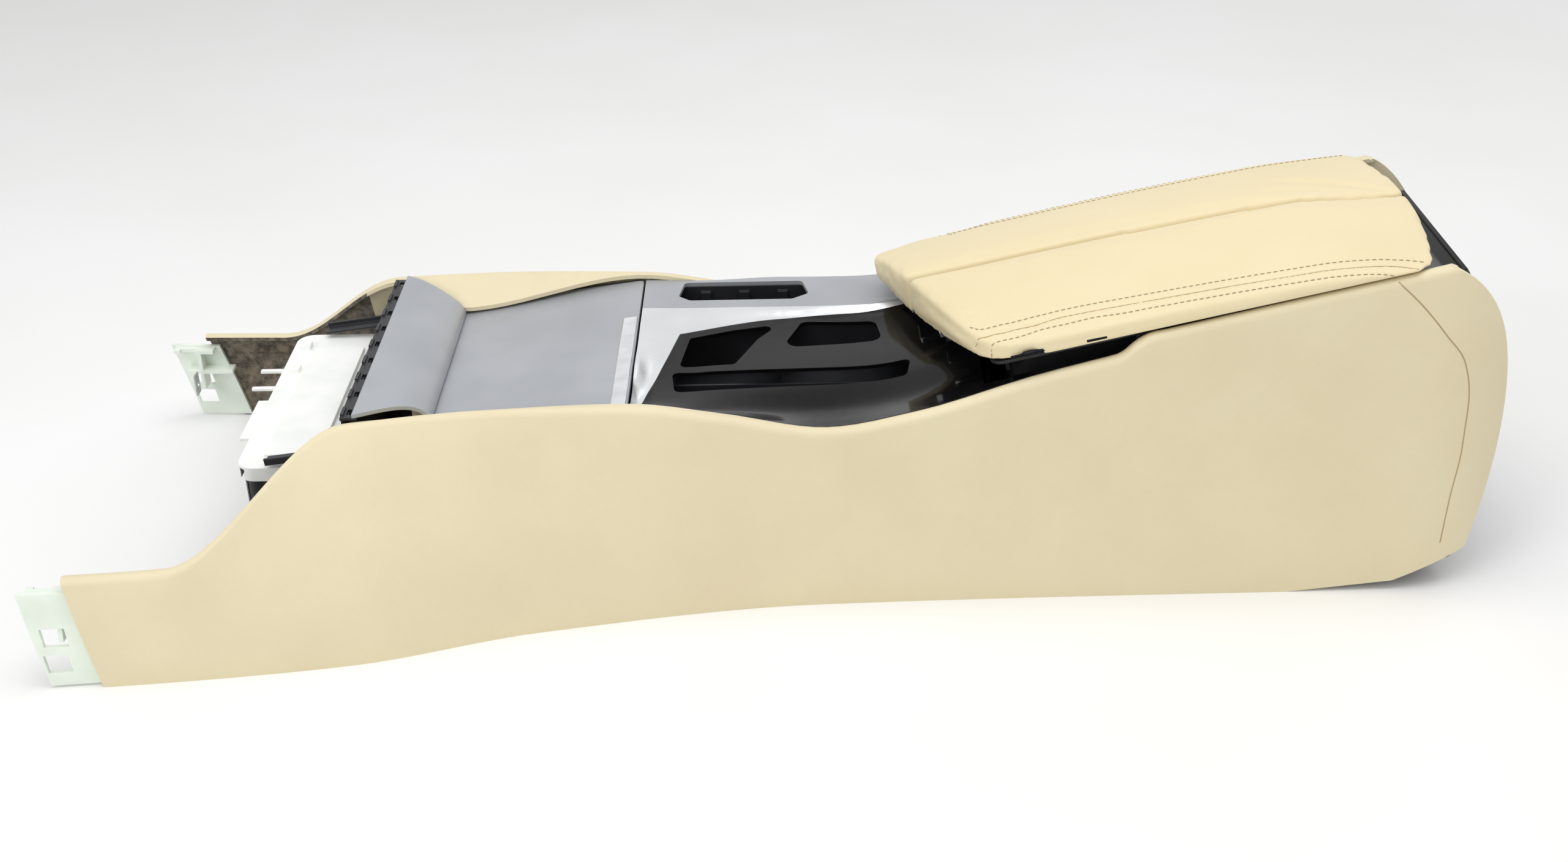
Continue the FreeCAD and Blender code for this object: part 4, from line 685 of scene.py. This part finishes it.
def row_object(name, line):
    """A chain of edges along a line, which remembers which way is out of the leather."""
    mesh = bpy.data.meshes.new(name)
    mesh.from_pydata([spot for spot, normal in line], [(k, k + 1) for k in range(len(line) - 1)], [])
    lift = mesh.attributes.new("lift", "FLOAT_VECTOR", "POINT")
    for k, (spot, normal) in enumerate(line):
        lift.data[k].vector = normal
    chain = bpy.data.objects.new(name, mesh)
    bpy.context.scene.collection.objects.link(chain)
    return chain


def grown(chain, tree, values=None):
    """Runs a tree on an object once and returns the plain mesh."""
    growth = chain.modifiers.new("growth", "NODES")
    growth.node_group = tree
    for socket in tree.interface.items_tree:
        if socket.name in (values or {}):
            growth[socket.identifier] = values[socket.name]
    mesh = evaluated_mesh(chain)
    bpy.data.objects.remove(chain)
    return mesh


# %% [markdown]
# ## Fold lines
# Where two pieces of leather meet, the eye sees a fine dark fold, which is mostly shade in the groove. A
# thin round bead along the line, sunk partway into the leather, draws it, and its darker colour is painted
# shade. The tree makes a curve of the line and runs a small circle along it.

# %% Bead tree
def bead_tree(finish):
    tree = bpy.data.node_groups.new("fold_bead", "GeometryNodeTree")
    tree.interface.new_socket("Line", in_out="INPUT", socket_type="NodeSocketGeometry")
    radius = tree.interface.new_socket("Radius", in_out="INPUT", socket_type="NodeSocketFloat")
    radius.default_value = 0.5 * MM
    tree.interface.new_socket("Bead", in_out="OUTPUT", socket_type="NodeSocketGeometry")
    given = add_node(tree, "NodeGroupInput").outputs
    run = add_node(tree, "GeometryNodeMeshToCurve", {"Mesh": given["Line"]})
    ring = add_node(tree, "GeometryNodeCurvePrimitiveCircle", {"Resolution": 8, "Radius": given["Radius"]})
    bead = add_node(tree, "GeometryNodeCurveToMesh", {"Curve": run.outputs["Curve"],
                                                      "Profile Curve": ring.outputs["Curve"],
                                                      "Fill Caps": True})
    real = add_node(tree, "GeometryNodeRealizeInstances", {"Geometry": bead.outputs["Mesh"]})
    painted = add_node(tree, "GeometryNodeSetMaterial", {"Geometry": real.outputs["Geometry"],
                                                         "Material": finish})
    add_node(tree, "NodeGroupOutput", {"Bead": painted.outputs["Geometry"]})
    return tree


# The beads take the darker seam colour, which is painted shade in the fold.
beads = bead_tree(seam_shade)
print("tree:", beads.name)

# %% [markdown]
# ## Rear seam of the side panels
# The leather of a side panel is sewn from two pieces, and the seam runs down near the rear corner.
# Its plan is written as seen from the side; looking sideways at the panel finds the points on the leather.

# %% Sew the side panels
PANEL_SEAM = [(424, 248), (443.6, 229.4), (463, 207), (480, 184), (488, 123), (485, 73), (483.5, 37)]
OUTSIDE = 0.4
plan = smooth_line([Vector((x * MM, 0, z * MM)) for x, z in PANEL_SEAM], 2 * MM)
for word, side in (("left", -1), ("right", 1)):
    skin = dressed[f"side_panel_{word}"].data
    shell = BVHTree.FromPolygons([corner.co for corner in skin.vertices],
                                 [face.vertices[:] for face in skin.polygons])
    fold = []
    for spot in plan:
        hit, normal = shell.ray_cast(Vector((spot.x, side * OUTSIDE, spot.z)), Vector((0, -side, 0)))[:2]
        if hit is not None and hit.y * side > 0.05:
            fold.append((hit - normal * 0.3 * MM, normal))
    # The bead's darker colour is painted shade along the panel seam.
    sewn = grown(row_object("fold", fold), beads, {"Radius": 0.6 * MM})
    new_piece(f"panel_seam_shade_{word}", sewn, seam_shade, "console")
    print("panel seam points:", len(fold))

# %% [markdown]
# ## Sewing the pads
# Now each half is made: remesh, inflate, subdivide once for a finer surface, draw in the seam,
# then set the stitches and the fold line.

# %% Make both armrest halves
stitches = stitch_tree(thread)
SEAM_DEPTH = 0.9 * MM
ROW_DEPTH = 0.25 * MM
SEAM_WIDTH = 1.5 * MM


def joined(name, meshes, finish, body):
    """One piece from several meshes."""
    form = bmesh.new()
    for mesh in meshes:
        form.from_mesh(mesh)
    together = bpy.data.meshes.new(name)
    form.to_mesh(together)
    form.free()
    together.shade_smooth()
    return new_piece(name, together, finish, body)


def armrest_half(word, side):
    node = f"armrest_pad_{word}"
    pad = remeshed_pad(node)
    pad.data = swollen(pad)
    finer = pad.modifiers.new("finer", "SUBSURF")
    finer.levels = 1
    finer.render_levels = 1
    mesh = evaluated_mesh(pad)
    mesh.transform(arm_turn)
    bpy.data.objects.remove(pad)
    plan = smooth_line([Vector((x * MM, side * y * MM, 0)) for x, y in SEAM_PLAN], 1.5 * MM)
    seam = on_pad(mesh, plan)
    rows = [on_pad(mesh, beside(plan, shift * MM)) for shift in (-ROW_OFFSET, ROW_OFFSET)]
    draw_in(mesh, seam, SEAM_DEPTH, SEAM_WIDTH)
    for row in rows:
        draw_in(mesh, row, ROW_DEPTH, SEAM_WIDTH)
    mesh.shade_smooth()
    cover = new_piece(f"armrest_cover_{word}", mesh, armrest_leather, f"armrest_{word}")
    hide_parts(node)
    sewn = [grown(row_object("row", row), stitches) for row in rows]
    joined(f"armrest_stitches_{word}", sewn, thread, f"armrest_{word}")
    sunk = [(spot - normal * SEAM_DEPTH, normal) for spot, normal in seam]
    # The bead's darker colour is painted shade in the seam groove.
    fold = grown(row_object("fold", sunk), beads, {"Radius": 0.45 * MM})
    new_piece(f"armrest_seam_shade_{word}", fold, seam_shade, f"armrest_{word}")
    return cover


for word, side in (("left", -1), ("right", 1)):
    cover = armrest_half(word, side)
    print(cover.name, "faces:", len(cover.data.polygons))

# %% [markdown]
# ## Studio
# A pale floor, a white world and three large soft lamps light the console, as in a product photograph.
# The world is white for the camera and for reflections, and weaker as a lamp, so that colours
# come out about as they are written.

# %% Floor, world and lamps
FLOOR_HALF = 8.0
floor_mesh = bpy.data.meshes.new("floor")
floor_corners = ((-1, -1), (1, -1), (1, 1), (-1, 1))
floor_mesh.from_pydata([(x * FLOOR_HALF, y * FLOOR_HALF, 0) for x, y in floor_corners], [], [(0, 1, 2, 3)])
floor = bpy.data.objects.new("floor", floor_mesh)
bpy.context.scene.collection.objects.link(floor)
floor_finish, floor_tree, floor_shader, floor_place = new_finish(
    "white_studio_floor", {"Roughness": 0.9, "Specular IOR Level": 0.1})
paper = add_node(floor_tree, "ShaderNodeTexNoise", {"Vector": floor_place, "Scale": 3.0})
paper_tone = two_tone(floor_tree, paper.outputs["Fac"], "f6f6f5", "f9f9f9")
floor_tree.links.new(paper_tone, floor_shader.inputs["Base Color"])
floor_mesh.materials.append(floor_finish)

world = bpy.data.worlds.new("studio")
world.use_nodes = True
bpy.context.scene.world = world
sky = world.node_tree.nodes["Background"]
seen = add_node(world.node_tree, "ShaderNodeLightPath").outputs
shown = add_node(world.node_tree, "ShaderNodeMath", {0: seen["Is Camera Ray"], 1: seen["Is Glossy Ray"]},
                 operation="MAXIMUM")
shown = add_node(world.node_tree, "ShaderNodeMath", {0: shown.outputs[0], 1: seen["Is Transmission Ray"]},
                 operation="MAXIMUM")
level = add_node(world.node_tree, "ShaderNodeMapRange", {"Value": shown.outputs[0], "To Min": 0.55,
                                                         "To Max": 1.0})
world.node_tree.links.new(level.outputs["Result"], sky.inputs["Strength"])
sky.inputs["Color"].default_value = (1, 1, 1, 1)


def soft_lamp(name, place, aim, width, height, watts):
    """A rectangular lamp that looks at a point."""
    lamp = bpy.data.lights.new(name, "AREA")
    lamp.shape = "RECTANGLE"
    lamp.size = width
    lamp.size_y = height
    lamp.energy = watts
    holder = bpy.data.objects.new(name, lamp)
    holder.location = place
    holder.rotation_euler = (Vector(aim) - Vector(place)).to_track_quat("-Z", "Y").to_euler()
    bpy.context.scene.collection.objects.link(holder)


soft_lamp("overhead", (0.1, -0.3, 2.2), (0, 0, 0.1), 2.4, 1.6, 26)
soft_lamp("front_left", (-1.6, -1.8, 1.5), (0, 0, 0.1), 1.2, 1.2, 16)
soft_lamp("rear_right", (1.8, 1.6, 1.6), (0, 0, 0.1), 1.0, 1.0, 3)
bpy.context.scene.view_settings.view_transform = "Standard"
